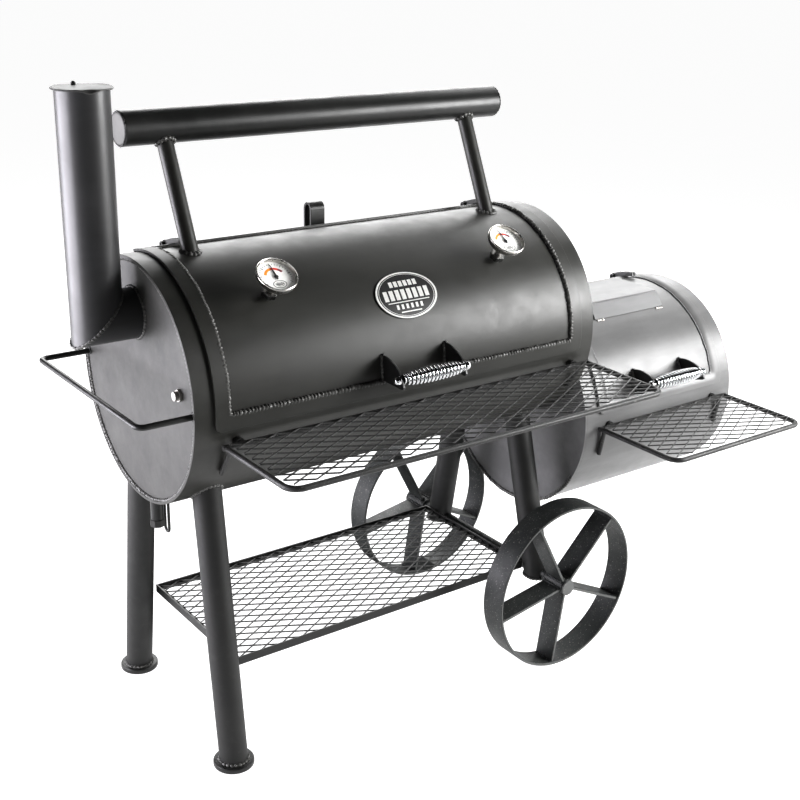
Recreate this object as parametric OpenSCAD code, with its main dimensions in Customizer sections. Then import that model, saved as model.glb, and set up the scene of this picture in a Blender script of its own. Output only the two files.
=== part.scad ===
// Offset barrel charcoal grill with a side firebox.
// X runs along the barrel towards the firebox, -Y is the door side, +Z is up.
// The origin is on the floor under the middle of the whole outline.

/* [Cook chamber] */
// Outside radius of the barrel and of the firebox
shell_r = 254; // [246:1:262]
// Thickness of the barrel wall and end plates
wall = 6; // [4:0.5:8]
// Length of the cook chamber
chamber_l = 1016; // [980:2:1060]
// Height of the chamber axis above the floor
axis_z = 800; // [780:2:830]

/* [Firebox] */
// Length of the firebox
firebox_l = 508; // [480:2:560]
// Drop of the firebox axis below the chamber axis
firebox_drop = 248; // [230:2:260]

/* [Doors] */
// Distance from a shell end to the outer edge of the door strap
strap_margin = 41; // [36:1:50]
// Width of the flat strap around each door
strap_w = 30; // [24:1:34]
// Opening angle position of the chamber door's lower strap edge
door_low = -8.3; // [-10:0.1:-6]
// Opening angle position of the firebox door's lower strap edge
firebox_door_low = 8.2; // [6:0.1:12]
// Angle of both hinge lines, measured from the front over the top
hinge_angle = 112; // [110:1:116]
// Distance between the two fins of a handle
fin_gap = 160; // [140:2:180]

/* [Counterweight] */
// Outside radius of the counterweight tube
counter_r = 35; // [32:1:38]
// Length of the counterweight tube
counter_l = 940; // [900:5:960]
// Height of the counterweight tube above the chamber axis
counter_up = 485; // [460:5:500]

/* [Smoke stack] */
// Outside radius of the stack pipe
stack_r = 50.8; // [45:0.4:55]
// Distance of the stack axis from the end of the chamber
stack_out = 73; // [65:1:90]
// Height of the stack mouth above the floor
stack_top = 1376; // [1300:2:1450]

/* [Stand] */
// Outside radius of the leg pipe
leg_r = 30.2; // [27:0.2:33]
// Distance from the centre line to the front and back feet
foot_y = 230; // [215:1:240]
// Distance of the left legs from the left end of the chamber
left_leg_x = 73; // [65:1:80]
// Distance of the right legs and the axle from the left end of the chamber
axle_x = 920; // [900:2:940]
// Outside radius of the wagon wheels
wheel_r = 203; // [195:1:210]
// Width of the wheel rims
rim_w = 64; // [50:1:70]
// Distance from the barrel axis to the inner face of the front wheel
front_wheel_y = 263; // [258:1:280]
// Distance from the barrel axis to the inner face of the back wheel
back_wheel_y = 225; // [215:1:280]
// Height of the lower shelf
lower_shelf_z = 221; // [210:1:240]

/* [Front shelves] */
// Depth of each front shelf
shelf_depth = 238; // [220:2:260]
// Radius of the shelf frame rod
rod_r = 6; // [5:0.5:7]
// Height of the chamber's front shelf
main_shelf_z = 734; // [728:1:740]
// Height of the firebox's front shelf
firebox_shelf_z = 556; // [550:1:562]
// Long pitch of the diamonds in the expanded metal
mesh_long = 51; // [48:1:70]
// Short pitch of the diamonds in the expanded metal
mesh_short = 28; // [24:1:32]

/* [Hidden] */
$fn = 96;

inner_r = shell_r - wall;
plate_inset = 5;
firebox_z = axis_z - firebox_drop;
firebox_x = chamber_l;
end_x = firebox_x + firebox_l;
strap_t = 6;
strap_gap = 0.2;
// Angle that a strap's width takes up on the shell
strap_a = strap_w / shell_r * 180 / PI;
panel_high = hinge_angle - 4;
panel_gap = 1.5;
hinge_r = 9;
hinge_rad = shell_r + hinge_r + 0.5;
pin_r = 5;
running = 0.05;
knuckle_l = 15;
handle_rad = 315;
handle_drop = 8.5;
fin_t = 6;
fin_a = 12;
stub_z = axis_z + 142;
pipe_t = 5;
lid_r = 57;
lid_t = 3;
lid_pivot_y = stack_r - pipe_t - 7;
damper_z = firebox_z - 45;
damper_r = 72;
knob_l = 24;
foot_t = 12;
axle_r = 12.7;
hub_r = 18.5;
cap_t = 5;
axle_low = -front_wheel_y - rim_w - cap_t;
axle_high = back_wheel_y + rim_w + cap_t;
shelf_back_y = -shell_r - 12;
shelf_front_y = shelf_back_y - shelf_depth;
shelf_corner = 28;
mesh_t = 3;
strand = 3.2;
rail_z = axis_z - 48;
grate_z = rail_z + 4;
fire_grate_z = firebox_z - 118;
thermo_a = 46.5;
thermo_tilt = 55.5;
thermo_l = 60;
dial_r = 39.5;

// The outline's limits set the origin
x_low = -stack_out - lid_r;
x_high = end_x - plate_inset + 3.5 + knob_l;
y_low = shelf_front_y - rod_r;
y_high = axle_high;

module placed() {
    translate([-(x_low + x_high) / 2, -(y_low + y_high) / 2, 0]) children();
}

// Point at radius r and angle a, from the front (0) over the top (90)
function polar(r, a, z) = [-r * cos(a), z + r * sin(a)];

module rod_x(x0, x1, y, z, r) {
    translate([x0, y, z]) rotate([0, 90, 0]) cylinder(h = x1 - x0, r = r);
}

module rod_y(x, y0, y1, z, r) {
    translate([x, y1, z]) rotate([90, 0, 0]) cylinder(h = y1 - y0, r = r);
}

// Round bar between two points
module bar(p, q, r) {
    d = q - p;
    l = norm(d);
    translate(p) rotate([0, acos(d.z / l), atan2(d.y, d.x)]) cylinder(h = l, r = r);
}

// Extrudes a shape drawn in (y, z) along X
module slab_x(x0, x1) {
    translate([x0, 0, 0]) rotate([90, 0, 90]) linear_extrude(height = x1 - x0) children();
}

// Extrudes a shape drawn in (x, z) along Y
module slab_y(y0, y1) {
    translate([0, y1, 0]) rotate([90, 0, 0]) linear_extrude(height = y1 - y0) children();
}

// Wedge of the space round an axis, between two angles
module wedge(x0, x1, z, a0, a1) {
    reach = shell_r * 2;
    third = (a1 - a0) / 3;
    slab_x(x0, x1) polygon([[0, z], polar(reach, a0, z), polar(reach, a0 + third, z),
        polar(reach, a0 + 2 * third, z), polar(reach, a1, z)]);
}

// Piece of a pipe between two radii and two angles
module pipe_piece(x0, x1, z, r0, r1, a0, a1) {
    intersection() {
        difference() {
            rod_x(x0, x1, 0, z, r1);
            rod_x(x0 - 1, x1 + 1, 0, z, r0);
        }
        wedge(x0 - 2, x1 + 2, z, a0, a1);
    }
}

module shell(x0, x1, z, cut0, cut1, a0, a1) {
    difference() {
        rod_x(x0, x1, 0, z, shell_r);
        rod_x(x0 - 1, x1 + 1, 0, z, inner_r);
        wedge(cut0, cut1, z, a0, a1);
    }
}

// Opening between the chamber and the firebox
module smoke_gap(x0, x1) {
    intersection() {
        rod_x(x0, x1, 0, axis_z, shell_r - 50);
        rod_x(x0, x1, 0, firebox_z, shell_r - 50);
    }
}

// Lower edge angle of the cut under the middle of a strap
function cut_low(low) = low + strap_a / 2;
cut_in = strap_margin + strap_w / 2;

module chamber_shell() {
    color("dimgray") placed()
        shell(0, chamber_l, axis_z, cut_in, chamber_l - cut_in, cut_low(door_low), panel_high + 0.4);
}

module chamber_end_left() {
    color("gray") placed() difference() {
        rod_x(plate_inset, plate_inset + wall, 0, axis_z, inner_r);
        rod_x(0, plate_inset + wall + 1, 0, stub_z, stack_r - pipe_t);
        rod_x(0, plate_inset + wall + 1, -shell_r * 0.74, axis_z + 26, 8);
    }
}

module chamber_end_right() {
    color("gray") placed() difference() {
        rod_x(chamber_l - plate_inset - wall, chamber_l - plate_inset, 0, axis_z, inner_r);
        smoke_gap(chamber_l - plate_inset - wall - 1, chamber_l);
    }
}

module firebox_shell() {
    color("dimgray") placed()
        shell(firebox_x + wall, end_x, firebox_z, firebox_x + cut_in, end_x - cut_in,
            cut_low(firebox_door_low), panel_high + 0.4);
}

module firebox_end_left() {
    color("gray") placed() difference() {
        rod_x(firebox_x, firebox_x + wall, 0, firebox_z, shell_r);
        smoke_gap(firebox_x - 1, firebox_x + wall + 1);
    }
}

// Three air holes round the damper's centre
module air_holes(x0, x1, turn) {
    for (i = [0:2])
        rod_x(x0, x1, 44 * cos(turn + i * 120), damper_z + 44 * sin(turn + i * 120), 17);
}

module firebox_end_right() {
    x0 = end_x - plate_inset - wall;
    color("gray") placed() difference() {
        rod_x(x0, x0 + wall, 0, firebox_z, inner_r);
        air_holes(x0 - 1, x0 + wall + 1, 90);
        rod_x(x0 - 1, x0 + wall + 1, 0, damper_z, pin_r);
    }
}

module heat_baffle() {
    x1 = chamber_l - plate_inset - wall;
    color("dimgray") placed() slab_y(-190, 190)
        polygon([[x1, axis_z - 58], [x1 - 190, axis_z - 92], [x1 - 190, axis_z - 96], [x1, axis_z - 62]]);
}

module grate_rails() {
    color("dimgray") placed() intersection() {
        for (side = [-1, 1]) {
            translate([30, side * (inner_r - 12) - 18, rail_z - 4]) cube([chamber_l - 60, 36, 4]);
            translate([30, side * (inner_r - 29) - 2, rail_z - 22]) cube([chamber_l - 60, 4, 19]);
        }
        rod_x(29, chamber_l - 29, 0, axis_z, inner_r);
    }
}

// Space above the 45 degree joint of the stack
module above_mitre() {
    slab_y(-stack_r * 2, stack_r * 2)
        polygon([[-stack_out - 300, stub_z - 300], [-stack_out + 300, stub_z + 300],
            [-stack_out - 300, stub_z + 900]]);
}

module stack_stub() {
    color("dimgray") placed() difference() {
        rod_x(-stack_out - stack_r - 5, plate_inset, 0, stub_z, stack_r);
        rod_x(-stack_out - stack_r - 6, plate_inset + 1, 0, stub_z, stack_r - pipe_t);
        above_mitre();
    }
}

module stack_pipe() {
    low = stub_z - stack_r - 5;
    color("dimgray") placed() intersection() {
        translate([-stack_out, 0, low]) difference() {
            cylinder(h = stack_top - low, r = stack_r);
            translate([0, 0, -1]) cylinder(h = stack_top - low + 2, r = stack_r - pipe_t);
        }
        slab_y(-stack_r * 2, stack_r * 2)
            polygon([[-stack_out - 300, stub_z - 300], [-stack_out + 600, stub_z + 600],
                [-stack_out - 300, stub_z + 1800]]);
    }
}

module stack_lid() {
    color("gray") placed() translate([-stack_out, 0, stack_top + 0.5]) difference() {
        cylinder(h = lid_t, r = lid_r);
        translate([0, lid_pivot_y, -1]) cylinder(h = lid_t + 2, r = 4 + running);
    }
}

// Bolts that the stack lid and the air damper turn on
module pivot_bolts() {
    x0 = end_x - plate_inset;
    color("silver") placed() {
        translate([-stack_out, lid_pivot_y, 0]) {
            translate([0, 0, stack_top - 26]) cylinder(h = 26, r = 7);
            translate([0, 0, stack_top]) cylinder(h = lid_t + 3, r = 4);
            translate([0, 0, stack_top + 0.5 + lid_t + 0.1]) cylinder(h = 5, r = 7, $fn = 6);
        }
        rod_x(x0 - wall - 8, x0 + 5, 0, damper_z, pin_r - running);
        translate([x0 + 3.7, 0, damper_z]) rotate([0, 90, 0]) cylinder(h = 5, r = 9, $fn = 6);
    }
}

module air_damper() {
    x0 = end_x - plate_inset + 0.5;
    color("gray") placed() {
        difference() {
            rod_x(x0, x0 + 3, 0, damper_z, damper_r);
            air_holes(x0 - 1, x0 + 4, 30);
            rod_x(x0 - 1, x0 + 4, 0, damper_z, pin_r);
        }
        rod_x(x0 + 3, x0 + 3 + knob_l, 0, damper_z + damper_r - 12, 6);
    }
}

module side_handle() {
    reach = 106;
    half = 238;
    bend = 14;
    rod = 6;
    color("dimgray") placed() translate([0, 0, axis_z - 2]) {
        for (side = [-1, 1]) {
            rod_x(bend - reach, plate_inset, side * half, 0, rod);
            translate([bend - reach, side * (half - bend), 0]) rotate([0, 0, side > 0 ? 90 : 180])
                rotate_extrude(angle = 90) translate([bend, 0]) circle(r = rod);
        }
        rod_y(-reach, bend - half, half - bend, 0, rod);
    }
}

// Threaded fitting for a probe lead in the left end plate
module end_plug() {
    color("silver") placed() translate([plate_inset, -shell_r * 0.74, axis_z + 26]) rotate([0, -90, 0]) {
        cylinder(h = 6, r = 13, $fn = 6);
        translate([0, 0, 6]) cylinder(h = 8, r = 9);
        translate([0, 0, -wall]) cylinder(h = wall, r = 8 - running);
    }
}

module drain_pipe() {
    color("dimgray") placed() difference() {
        translate([32, 0, axis_z - shell_r - 74]) cylinder(h = 90, r = 13.4);
        translate([32, 0, axis_z - shell_r - 75]) cylinder(h = 92, r = 10);
        rod_x(0, 100, 0, axis_z, shell_r);
    }
}

// Rod loop that a drip bucket hangs on
module bucket_hook() {
    z0 = axis_z - shell_r - 84;
    color("dimgray") placed() difference() {
        translate([54, 0, z0]) {
            for (side = [-1, 1]) translate([0, side * 9, 0]) cylinder(h = 100, r = 3);
            rotate([0, 90, 0]) rotate([0, 0, -90]) rotate_extrude(angle = 180) translate([9, 0]) circle(r = 3);
        }
        rod_x(0, 100, 0, axis_z, shell_r);
    }
}

// Bent flat bar behind the door
module door_stop() {
    y0 = 119;
    bend_z = axis_z + 264;
    color("dimgray") placed() difference() {
        translate([chamber_l / 2 - 18, 0, 0]) {
            translate([0, y0, axis_z + 180]) cube([36, 5, bend_z - axis_z - 180]);
            translate([0, y0 + 25, axis_z + 160]) cube([36, 5, bend_z - axis_z - 160]);
            translate([0, y0 + 15, bend_z]) rotate([90, 0, 90]) rotate_extrude(angle = 180)
                translate([10, 0]) square([5, 36]);
        }
        rod_x(0, chamber_l, 0, axis_z, shell_r);
    }
}

socket_l = 9;

module shelf_socket(x, y_end, z_shelf, z_shell) {
    difference() {
        rod_y(x, y_end, 0, z_shelf, rod_r + 4);
        rod_y(x, y_end - 1, 0, z_shelf, rod_r + running);
        rod_x(x - 40, x + 40, 0, z_shell, shell_r);
    }
}

main_shelf_x0 = 56;
main_shelf_x1 = chamber_l - 24;
firebox_shelf_x0 = firebox_x + 40;
firebox_shelf_x1 = end_x - 34;
peg_in = 36;

// Short tubes on the shells that the front shelves plug into
module shelf_sockets() {
    y_end = shelf_back_y + rod_r + 0.5;
    color("dimgray") placed() {
        for (x = [main_shelf_x0 + peg_in, main_shelf_x1 - peg_in]) shelf_socket(x, y_end, main_shelf_z, axis_z);
        for (x = [firebox_shelf_x0 + peg_in, firebox_shelf_x1 - peg_in])
            shelf_socket(x, y_end, firebox_shelf_z, firebox_z);
    }
}

// Rounded rod frame with pegs for the sockets and props that bear on the shell
module shelf_frame(x0, x1, z, z_shell) {
    c = shelf_corner;
    y0 = shelf_front_y;
    y1 = shelf_back_y;
    rod_x(x0 - rod_r, x1 + rod_r, y1, z, rod_r);
    rod_x(x0 + c, x1 - c, y0, z, rod_r);
    for (x = [x0, x1]) rod_y(x, y0 + c, y1, z, rod_r);
    translate([x0 + c, y0 + c, z]) rotate([0, 0, 180]) rotate_extrude(angle = 90)
        translate([c, 0]) circle(r = rod_r);
    translate([x1 - c, y0 + c, z]) rotate([0, 0, 270]) rotate_extrude(angle = 90)
        translate([c, 0]) circle(r = rod_r);
    for (x = [x0 + peg_in, x1 - peg_in]) difference() {
        rod_y(x, y1, -shell_r + 14, z, rod_r);
        rod_x(x - 20, x + 20, 0, z_shell, shell_r + 0.5);
    }
    prop_r = rod_r - 0.6;
    low = z - 72;
    y_prop = -sqrt(pow(shell_r + prop_r + 1, 2) - pow(z_shell - low, 2));
    for (x = [x0 + 14, x1 - 14]) bar([x, y1, z], [x, y_prop, low], prop_r);
}

// Sheet of expanded metal with staggered diamonds
module expanded_metal(x0, x1, y0, y1, z) {
    nx = floor((x1 - x0) / mesh_long);
    ny = floor((y1 - y0) / mesh_short);
    px = (x1 - x0) / nx;
    py = (y1 - y0) / ny;
    hx = px / 2 - strand;
    hy = py / 2 - strand * 0.75;
    difference() {
        translate([x0, y0, z]) cube([x1 - x0, y1 - y0, mesh_t]);
        for (i = [0:nx - 1], j = [0:ny - 1])
            translate([x0 + (i + 0.5) * px, y0 + (j + 0.5) * py, z - 1]) diamond(hx, hy);
        for (i = [1:nx - 1], j = [1:ny - 1])
            translate([x0 + i * px, y0 + j * py, z - 1]) diamond(hx, hy);
    }
}

module diamond(hx, hy) {
    linear_extrude(height = mesh_t + 2) polygon([[-hx, 0], [0, -hy], [hx, 0], [0, hy]]);
}

// Expanded metal that lies on top of a shelf frame
module shelf_mesh(x0, x1, z) {
    expanded_metal(x0 + 3, x1 - 3, shelf_front_y + 4, shelf_back_y - 3, z + rod_r);
}

module main_shelf_frame() {
    color("dimgray") placed() shelf_frame(main_shelf_x0, main_shelf_x1, main_shelf_z, axis_z);
}

module main_shelf_mesh() {
    color("gray") placed() shelf_mesh(main_shelf_x0, main_shelf_x1, main_shelf_z);
}

module firebox_shelf_frame() {
    color("dimgray") placed() shelf_frame(firebox_shelf_x0, firebox_shelf_x1, firebox_shelf_z, firebox_z);
}

module firebox_shelf_mesh() {
    color("gray") placed() shelf_mesh(firebox_shelf_x0, firebox_shelf_x1, firebox_shelf_z);
}

hinge_y = -hinge_rad * cos(hinge_angle);

function hinge_z(z) = z + hinge_rad * sin(hinge_angle);

// One knuckle with the arm that welds it down; the arm is t thick and runs from angle a0 to a1
module knuckle(x0, z, a0, a1, r0, t) {
    rod_x(x0, x0 + knuckle_l, hinge_y, hinge_z(z), hinge_r);
    difference() {
        pipe_piece(x0, x0 + knuckle_l, z, r0, r0 + t, a0, a1);
        rod_x(x0 - 1, x0 + knuckle_l + 1, hinge_y, hinge_z(z), hinge_r - 1);
    }
}

// Fixed knuckle of a hinge, with the pin that the door's knuckle turns on
module fixed_hinge(x, z) {
    x_fixed = x + knuckle_l + 1;
    knuckle(x_fixed, z, hinge_angle, hinge_angle + 7, shell_r, 4);
    rod_x(x - 7, x_fixed + knuckle_l + 5, hinge_y, hinge_z(z), pin_r);
    rod_x(x - 7, x - 1, hinge_y, hinge_z(z), pin_r + 2);
}

door_hinge_x = [122, chamber_l - 107];
firebox_hinge_x = [firebox_x + 62, end_x - 62 - 2 * knuckle_l];

module hinge_knuckles() {
    color("gray") placed() {
        for (x = door_hinge_x) fixed_hinge(x, axis_z);
        for (x = firebox_hinge_x) fixed_hinge(x, firebox_z);
    }
}

// Knuckles that turn with a door
module moving_knuckles(xs, z) {
    for (x = xs) difference() {
        knuckle(x, z, panel_high - 8, hinge_angle, shell_r + strap_t + strap_gap, 9);
        rod_x(x - 1, x + knuckle_l + 1, hinge_y, hinge_z(z), pin_r + running);
    }
}

// Curved door skin that fills the shell's cut
module door_skin(x0, x1, z, low) {
    pipe_piece(x0 + cut_in + panel_gap, x1 - cut_in - panel_gap, z, inner_r, shell_r,
        cut_low(low) + 0.4, panel_high);
}

// Flat strap welded round a door, overlapping the shell
module strap(x0, x1, z, low) {
    r0 = shell_r + strap_gap;
    difference() {
        pipe_piece(x0 + strap_margin, x1 - strap_margin, z, r0, r0 + strap_t, low, panel_high);
        wedge(x0 + strap_margin + strap_w, x1 - strap_margin - strap_w, z,
            low + strap_a, panel_high - strap_a);
    }
}

// Quarter-ellipse fin in the (y, z) plane, standing on the door
module fin(x, z, low) {
    base = low + strap_a + 0.5;
    height = fin_a * PI / 180 * shell_r;
    deep = handle_rad + 11 - shell_r;
    foot = polar(shell_r, base, z);
    hole = polar(handle_rad, base + fin_a - handle_drop, z);
    difference() {
        slab_x(x - fin_t / 2, x + fin_t / 2) translate(foot) rotate(180 - base)
            polygon(concat([[-8, 0], [-8, -height - 4], [0, -height - 4]],
                [for (t = [0:10:90]) [deep * sin(t), -height * cos(t)]]));
        rod_x(x - fin_t, x + fin_t, 0, z, shell_r + 0.01);
        rod_x(x - fin_t, x + fin_t, hole[0], hole[1], pin_r + 0.1);
    }
}

function handle_at(low, z) = polar(handle_rad, low + strap_a + 0.5 + fin_a - handle_drop, z);

module fins(x, z, low) {
    for (side = [-1, 1]) fin(x + side * fin_gap / 2, z, low);
}

// Bolt through both fins, with a nut and a rounded end at each side
module handle_rod(x, z, low) {
    p = handle_at(low, z);
    half = fin_gap / 2;
    rod_x(x - half - 12, x + half + 12, p[0], p[1], pin_r);
    for (side = [-1, 1]) translate([x + side * (half + fin_t / 2 + 0.2), p[0], p[1]]) rotate([0, side * 90, 0]) {
        cylinder(h = 7, r = 9.5, $fn = 6);
        translate([0, 0, 7]) cylinder(h = 6, r1 = 8, r2 = 4);
    }
}

// Barrel-shaped coil round the bolt, drawn as a scalloped sleeve
module handle_spring(x, z, low) {
    p = handle_at(low, z);
    half = fin_gap / 2 - fin_t / 2 - 4;
    coils = 13;
    pitch = 2 * half / coils;
    wire = 3;
    function swell(u) = 9.5 + 8 * sqrt(max(0, 1 - pow(u / half, 2)));
    translate([x, p[0], p[1]]) rotate([0, 90, 0]) rotate_extrude() polygon(concat(
        [for (i = [0:2 * coils]) [swell(i * pitch / 2 - half) - (i % 2 == 0 ? wire / 2 : 0), i * pitch / 2 - half]],
        [for (i = [coils:-1:0]) [swell(i * pitch - half) - wire, i * pitch - half]]));
}

module door_panel() {
    color("dimgray") placed() difference() {
        door_skin(0, chamber_l, axis_z, door_low);
        for (x = thermo_x) thermo_axis(x) translate([0, 0, -20]) cylinder(h = 40, r = 5 + running);
    }
}

module door_strap() {
    color("dimgray") placed() strap(0, chamber_l, axis_z, door_low);
}

module door_hinge_knuckles() {
    color("gray") placed() moving_knuckles(door_hinge_x, axis_z);
}

module door_fins() {
    color("black") placed() fins(chamber_l / 2, axis_z, door_low);
}

module door_handle_rod() {
    color("silver") placed() handle_rod(chamber_l / 2, axis_z, door_low);
}

module door_handle_spring() {
    color("silver") placed() handle_spring(chamber_l / 2, axis_z, door_low);
}

thermo_x = [chamber_l / 2 - 302, chamber_l / 2 + 270];

// Moves to where a thermometer's stem leaves the door; Z then runs out along the stem
module thermo_axis(x) {
    p = polar(shell_r, thermo_a, axis_z);
    translate([x, p[0], p[1]]) rotate([90 - thermo_tilt, 0, 0]) children();
}

module thermometer(x) {
    thermo_axis(x) {
        translate([0, 0, -60]) cylinder(h = thermo_l + 54, r = 4);
        translate([0, 0, 10]) cylinder(h = 12, r = 11, $fn = 6);
        translate([0, 0, 22]) cylinder(h = thermo_l - 28, r = 7);
        translate([0, 0, thermo_l - 6]) difference() {
            cylinder(h = 13, r = dial_r + 2.5);
            translate([0, 0, 2]) cylinder(h = 12, r = dial_r);
        }
    }
}

module dial(x) {
    thermo_axis(x) translate([0, 0, thermo_l - 4]) difference() {
        cylinder(h = 2, r = dial_r - 0.1);
        translate([0, 0, -1]) cylinder(h = 4, r = 2);
    }
}

module needle(x) {
    thermo_axis(x) translate([0, 0, thermo_l - 1.5]) {
        translate([0, 0, -2.4]) cylinder(h = 4.4, r = 2 - running);
        cylinder(h = 2, r = 4);
        translate([-1.2, 0, 0.4]) cube([2.4, dial_r * 0.72, 1]);
        translate([-1.2, -dial_r * 0.2, 0.4]) cube([2.4, dial_r * 0.2, 1]);
    }
}

module thermometer_left() { color("silver") placed() thermometer(thermo_x[0]); }
module thermometer_right() { color("silver") placed() thermometer(thermo_x[1]); }
module dial_left() { color("white") placed() dial(thermo_x[0]); }
module dial_right() { color("white") placed() dial(thermo_x[1]); }
module needle_left() { color("black") placed() needle(thermo_x[0]); }
module needle_right() { color("black") placed() needle(thermo_x[1]); }

// Plain oval plate with no lettering
module badge() {
    a = 36.5;
    color("black") placed() intersection() {
        pipe_piece(chamber_l / 2 - 80, chamber_l / 2 + 100, axis_z, shell_r + 0.4, shell_r + 2.4, 10, 60);
        translate([chamber_l / 2 + 10, 0, axis_z]) rotate([90 - a, 0, 0]) scale([1.5, 1, 1])
            cylinder(h = shell_r + 20, r = 52, $fn = 64);
    }
}

counter_mid = chamber_l / 2 - 7;
post_x = [counter_mid - 378, counter_mid + 378];
counter_y = 88;

module counterweight_posts() {
    foot = polar(shell_r - 12, 84.3, axis_z);
    color("dimgray") placed() for (x = post_x) difference() {
        bar([x, foot[0], foot[1]], [x, counter_y, axis_z + counter_up], 16.7);
        bar([x, foot[0] - 20, foot[1] - 41], [x, counter_y, axis_z + counter_up], 13);
        rod_x(x - 40, x + 40, 0, axis_z, shell_r + 0.01);
        rod_x(x - 40, x + 40, counter_y, axis_z + counter_up, counter_r + 0.01);
    }
}

module counterweight_tube() {
    x0 = counter_mid - counter_l / 2;
    color("dimgray") placed() difference() {
        rod_x(x0, x0 + counter_l, counter_y, axis_z + counter_up, counter_r);
        rod_x(x0 + 5, x0 + counter_l - 5, counter_y, axis_z + counter_up, counter_r - 5);
    }
}

firebox_mid = firebox_x + firebox_l / 2;

module firebox_door_panel() {
    color("dimgray") placed() door_skin(firebox_x, end_x, firebox_z, firebox_door_low);
}

module firebox_door_strap() {
    color("dimgray") placed() strap(firebox_x, end_x, firebox_z, firebox_door_low);
}

module firebox_door_knuckles() {
    color("gray") placed() moving_knuckles(firebox_hinge_x, firebox_z);
}

module firebox_fins() {
    color("black") placed() fins(firebox_mid, firebox_z, firebox_door_low);
}

module firebox_handle_rod() {
    color("silver") placed() handle_rod(firebox_mid, firebox_z, firebox_door_low);
}

module firebox_handle_spring() {
    color("silver") placed() handle_spring(firebox_mid, firebox_z, firebox_door_low);
}

// Flat plate on the firebox door, with a front apron down to the door
module warming_plate() {
    top = firebox_z + shell_r + 5;
    t = 4;
    color("gray") placed() difference() {
        slab_x(firebox_mid - 118, firebox_mid + 118) polygon([[-98, top], [48, top], [48, top - t],
            [-95.8, top - t], [-124, top - 42], [-127.5, top - 40]]);
        rod_x(firebox_x, end_x, 0, firebox_z, shell_r + 0.05);
    }
}

// Leg pipe from a foot height to the shell, cut to fit it
module leg(x, y_foot, z_foot, y_top) {
    top = axis_z - sqrt(pow(shell_r, 2) - pow(y_top, 2));
    slope = (y_top - y_foot) / (top - z_foot);
    low = [x, y_foot - slope * 40, z_foot - 40];
    high = [x, y_top + slope * 70, top + 70];
    difference() {
        bar(low, high, leg_r);
        bar(low - [0, slope, 1], high + [0, slope, 1], leg_r - 4);
        rod_x(x - 60, x + 60, 0, axis_z, shell_r);
        translate([x - 100, y_foot - 100, z_foot - 120]) cube([200, 200, 120]);
    }
}

leg_top_y = 150;

module leg_front_left() { color("dimgray") placed() leg(left_leg_x, -foot_y, foot_t, -leg_top_y); }
module leg_back_left() { color("dimgray") placed() leg(left_leg_x, foot_y, foot_t, leg_top_y); }

// Right leg, ending just below the axle that passes through it
module right_leg(y_foot, y_top) {
    difference() {
        leg(axle_x, y_foot, wheel_r - 22, y_top);
        rod_y(axle_x, y_foot - 60, y_foot + 60, wheel_r, axle_r + 0.02);
    }
}

module leg_front_right() { color("dimgray") placed() right_leg(-220, -116); }
module leg_back_right() { color("dimgray") placed() right_leg(168, 104); }

// Round feet under the left legs
module foot_flanges() {
    color("dimgray") placed() for (side = [-1, 1])
        translate([left_leg_x, side * foot_y, 0]) cylinder(h = foot_t, r = 43);
}

module axle() {
    color("gray") placed() {
        rod_y(axle_x, axle_low, axle_high, wheel_r, axle_r);
        rod_y(axle_x, axle_low, axle_low + cap_t - 1, wheel_r, hub_r);
        rod_y(axle_x, axle_high - cap_t + 1, axle_high, wheel_r, hub_r);
        rod_y(axle_x, 1 - front_wheel_y, 7 - front_wheel_y, wheel_r, hub_r);
        rod_y(axle_x, back_wheel_y - 7, back_wheel_y - 1, wheel_r, hub_r);
    }
}

// Flat-bar rim, five flat-bar spokes and a pipe hub
module wheel(side) {
    y0 = side > 0 ? back_wheel_y : -front_wheel_y - rim_w;
    rim_t = 6;
    spoke_w = rim_w - 8;
    translate([axle_x, y0, wheel_r]) difference() {
        union() {
            rotate([-90, 0, 0]) difference() {
                cylinder(h = rim_w, r = wheel_r);
                translate([0, 0, -1]) cylinder(h = rim_w + 2, r = wheel_r - rim_t);
            }
            for (i = [0:4]) rotate([0, -46 - i * 72, 0])
                translate([hub_r - 4, (rim_w - spoke_w) / 2, -3.5]) cube([wheel_r - rim_t - hub_r + 5, spoke_w, 7]);
            rotate([-90, 0, 0]) cylinder(h = rim_w, r = hub_r);
        }
        rotate([-90, 0, 0]) translate([0, 0, -1]) cylinder(h = rim_w + 2, r = axle_r + running);
    }
}

module wheel_front() { color("dimgray") placed() wheel(-1); }
module wheel_back() { color("dimgray") placed() wheel(1); }

lower_x0 = left_leg_x + leg_r + 1;
lower_x1 = axle_x - leg_r - 1;
lower_front = 200;
lower_back = 184;
angle_w = 22;
angle_t = 3.5;

// Block over the lower shelf's outline, moved in by a margin
module lower_block(margin, z, h) {
    translate([lower_x0 + margin, -lower_front + margin, z])
        cube([lower_x1 - lower_x0 - 2 * margin, lower_front + lower_back - 2 * margin, h]);
}

// Angle-iron rectangle between the legs
module lower_shelf_frame() {
    z = lower_shelf_z;
    color("dimgray") placed() difference() {
        lower_block(0, z - angle_w, angle_w);
        lower_block(angle_t, z - angle_w - 1, angle_w + 1 - angle_t);
        lower_block(angle_w, z - angle_w - 1, angle_w + 2);
    }
}

module lower_shelf_mesh() {
    color("gray") placed()
        expanded_metal(lower_x0 + 4, lower_x1 - 4, -lower_front + 4, lower_back - 4, lower_shelf_z);
}

// Flat grate with a frame and cross slots
module slotted_grate(x0, x1, half, z, t, slots, rib) {
    pitch = (x1 - x0 - 2 * rib) / slots;
    difference() {
        translate([x0, -half, z]) cube([x1 - x0, 2 * half, t]);
        for (i = [0:slots - 1], side = [0, 1])
            translate([x0 + rib + i * pitch + rib / 4, side * half - half + rib * (1 - side / 2), z - 1])
                cube([pitch - rib / 2, half - rib * 1.5, t + 2]);
    }
}

grate_half = inner_r - 9;
grate_mid = chamber_l / 2;
grate_l = grate_mid - cut_in - 6;

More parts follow.
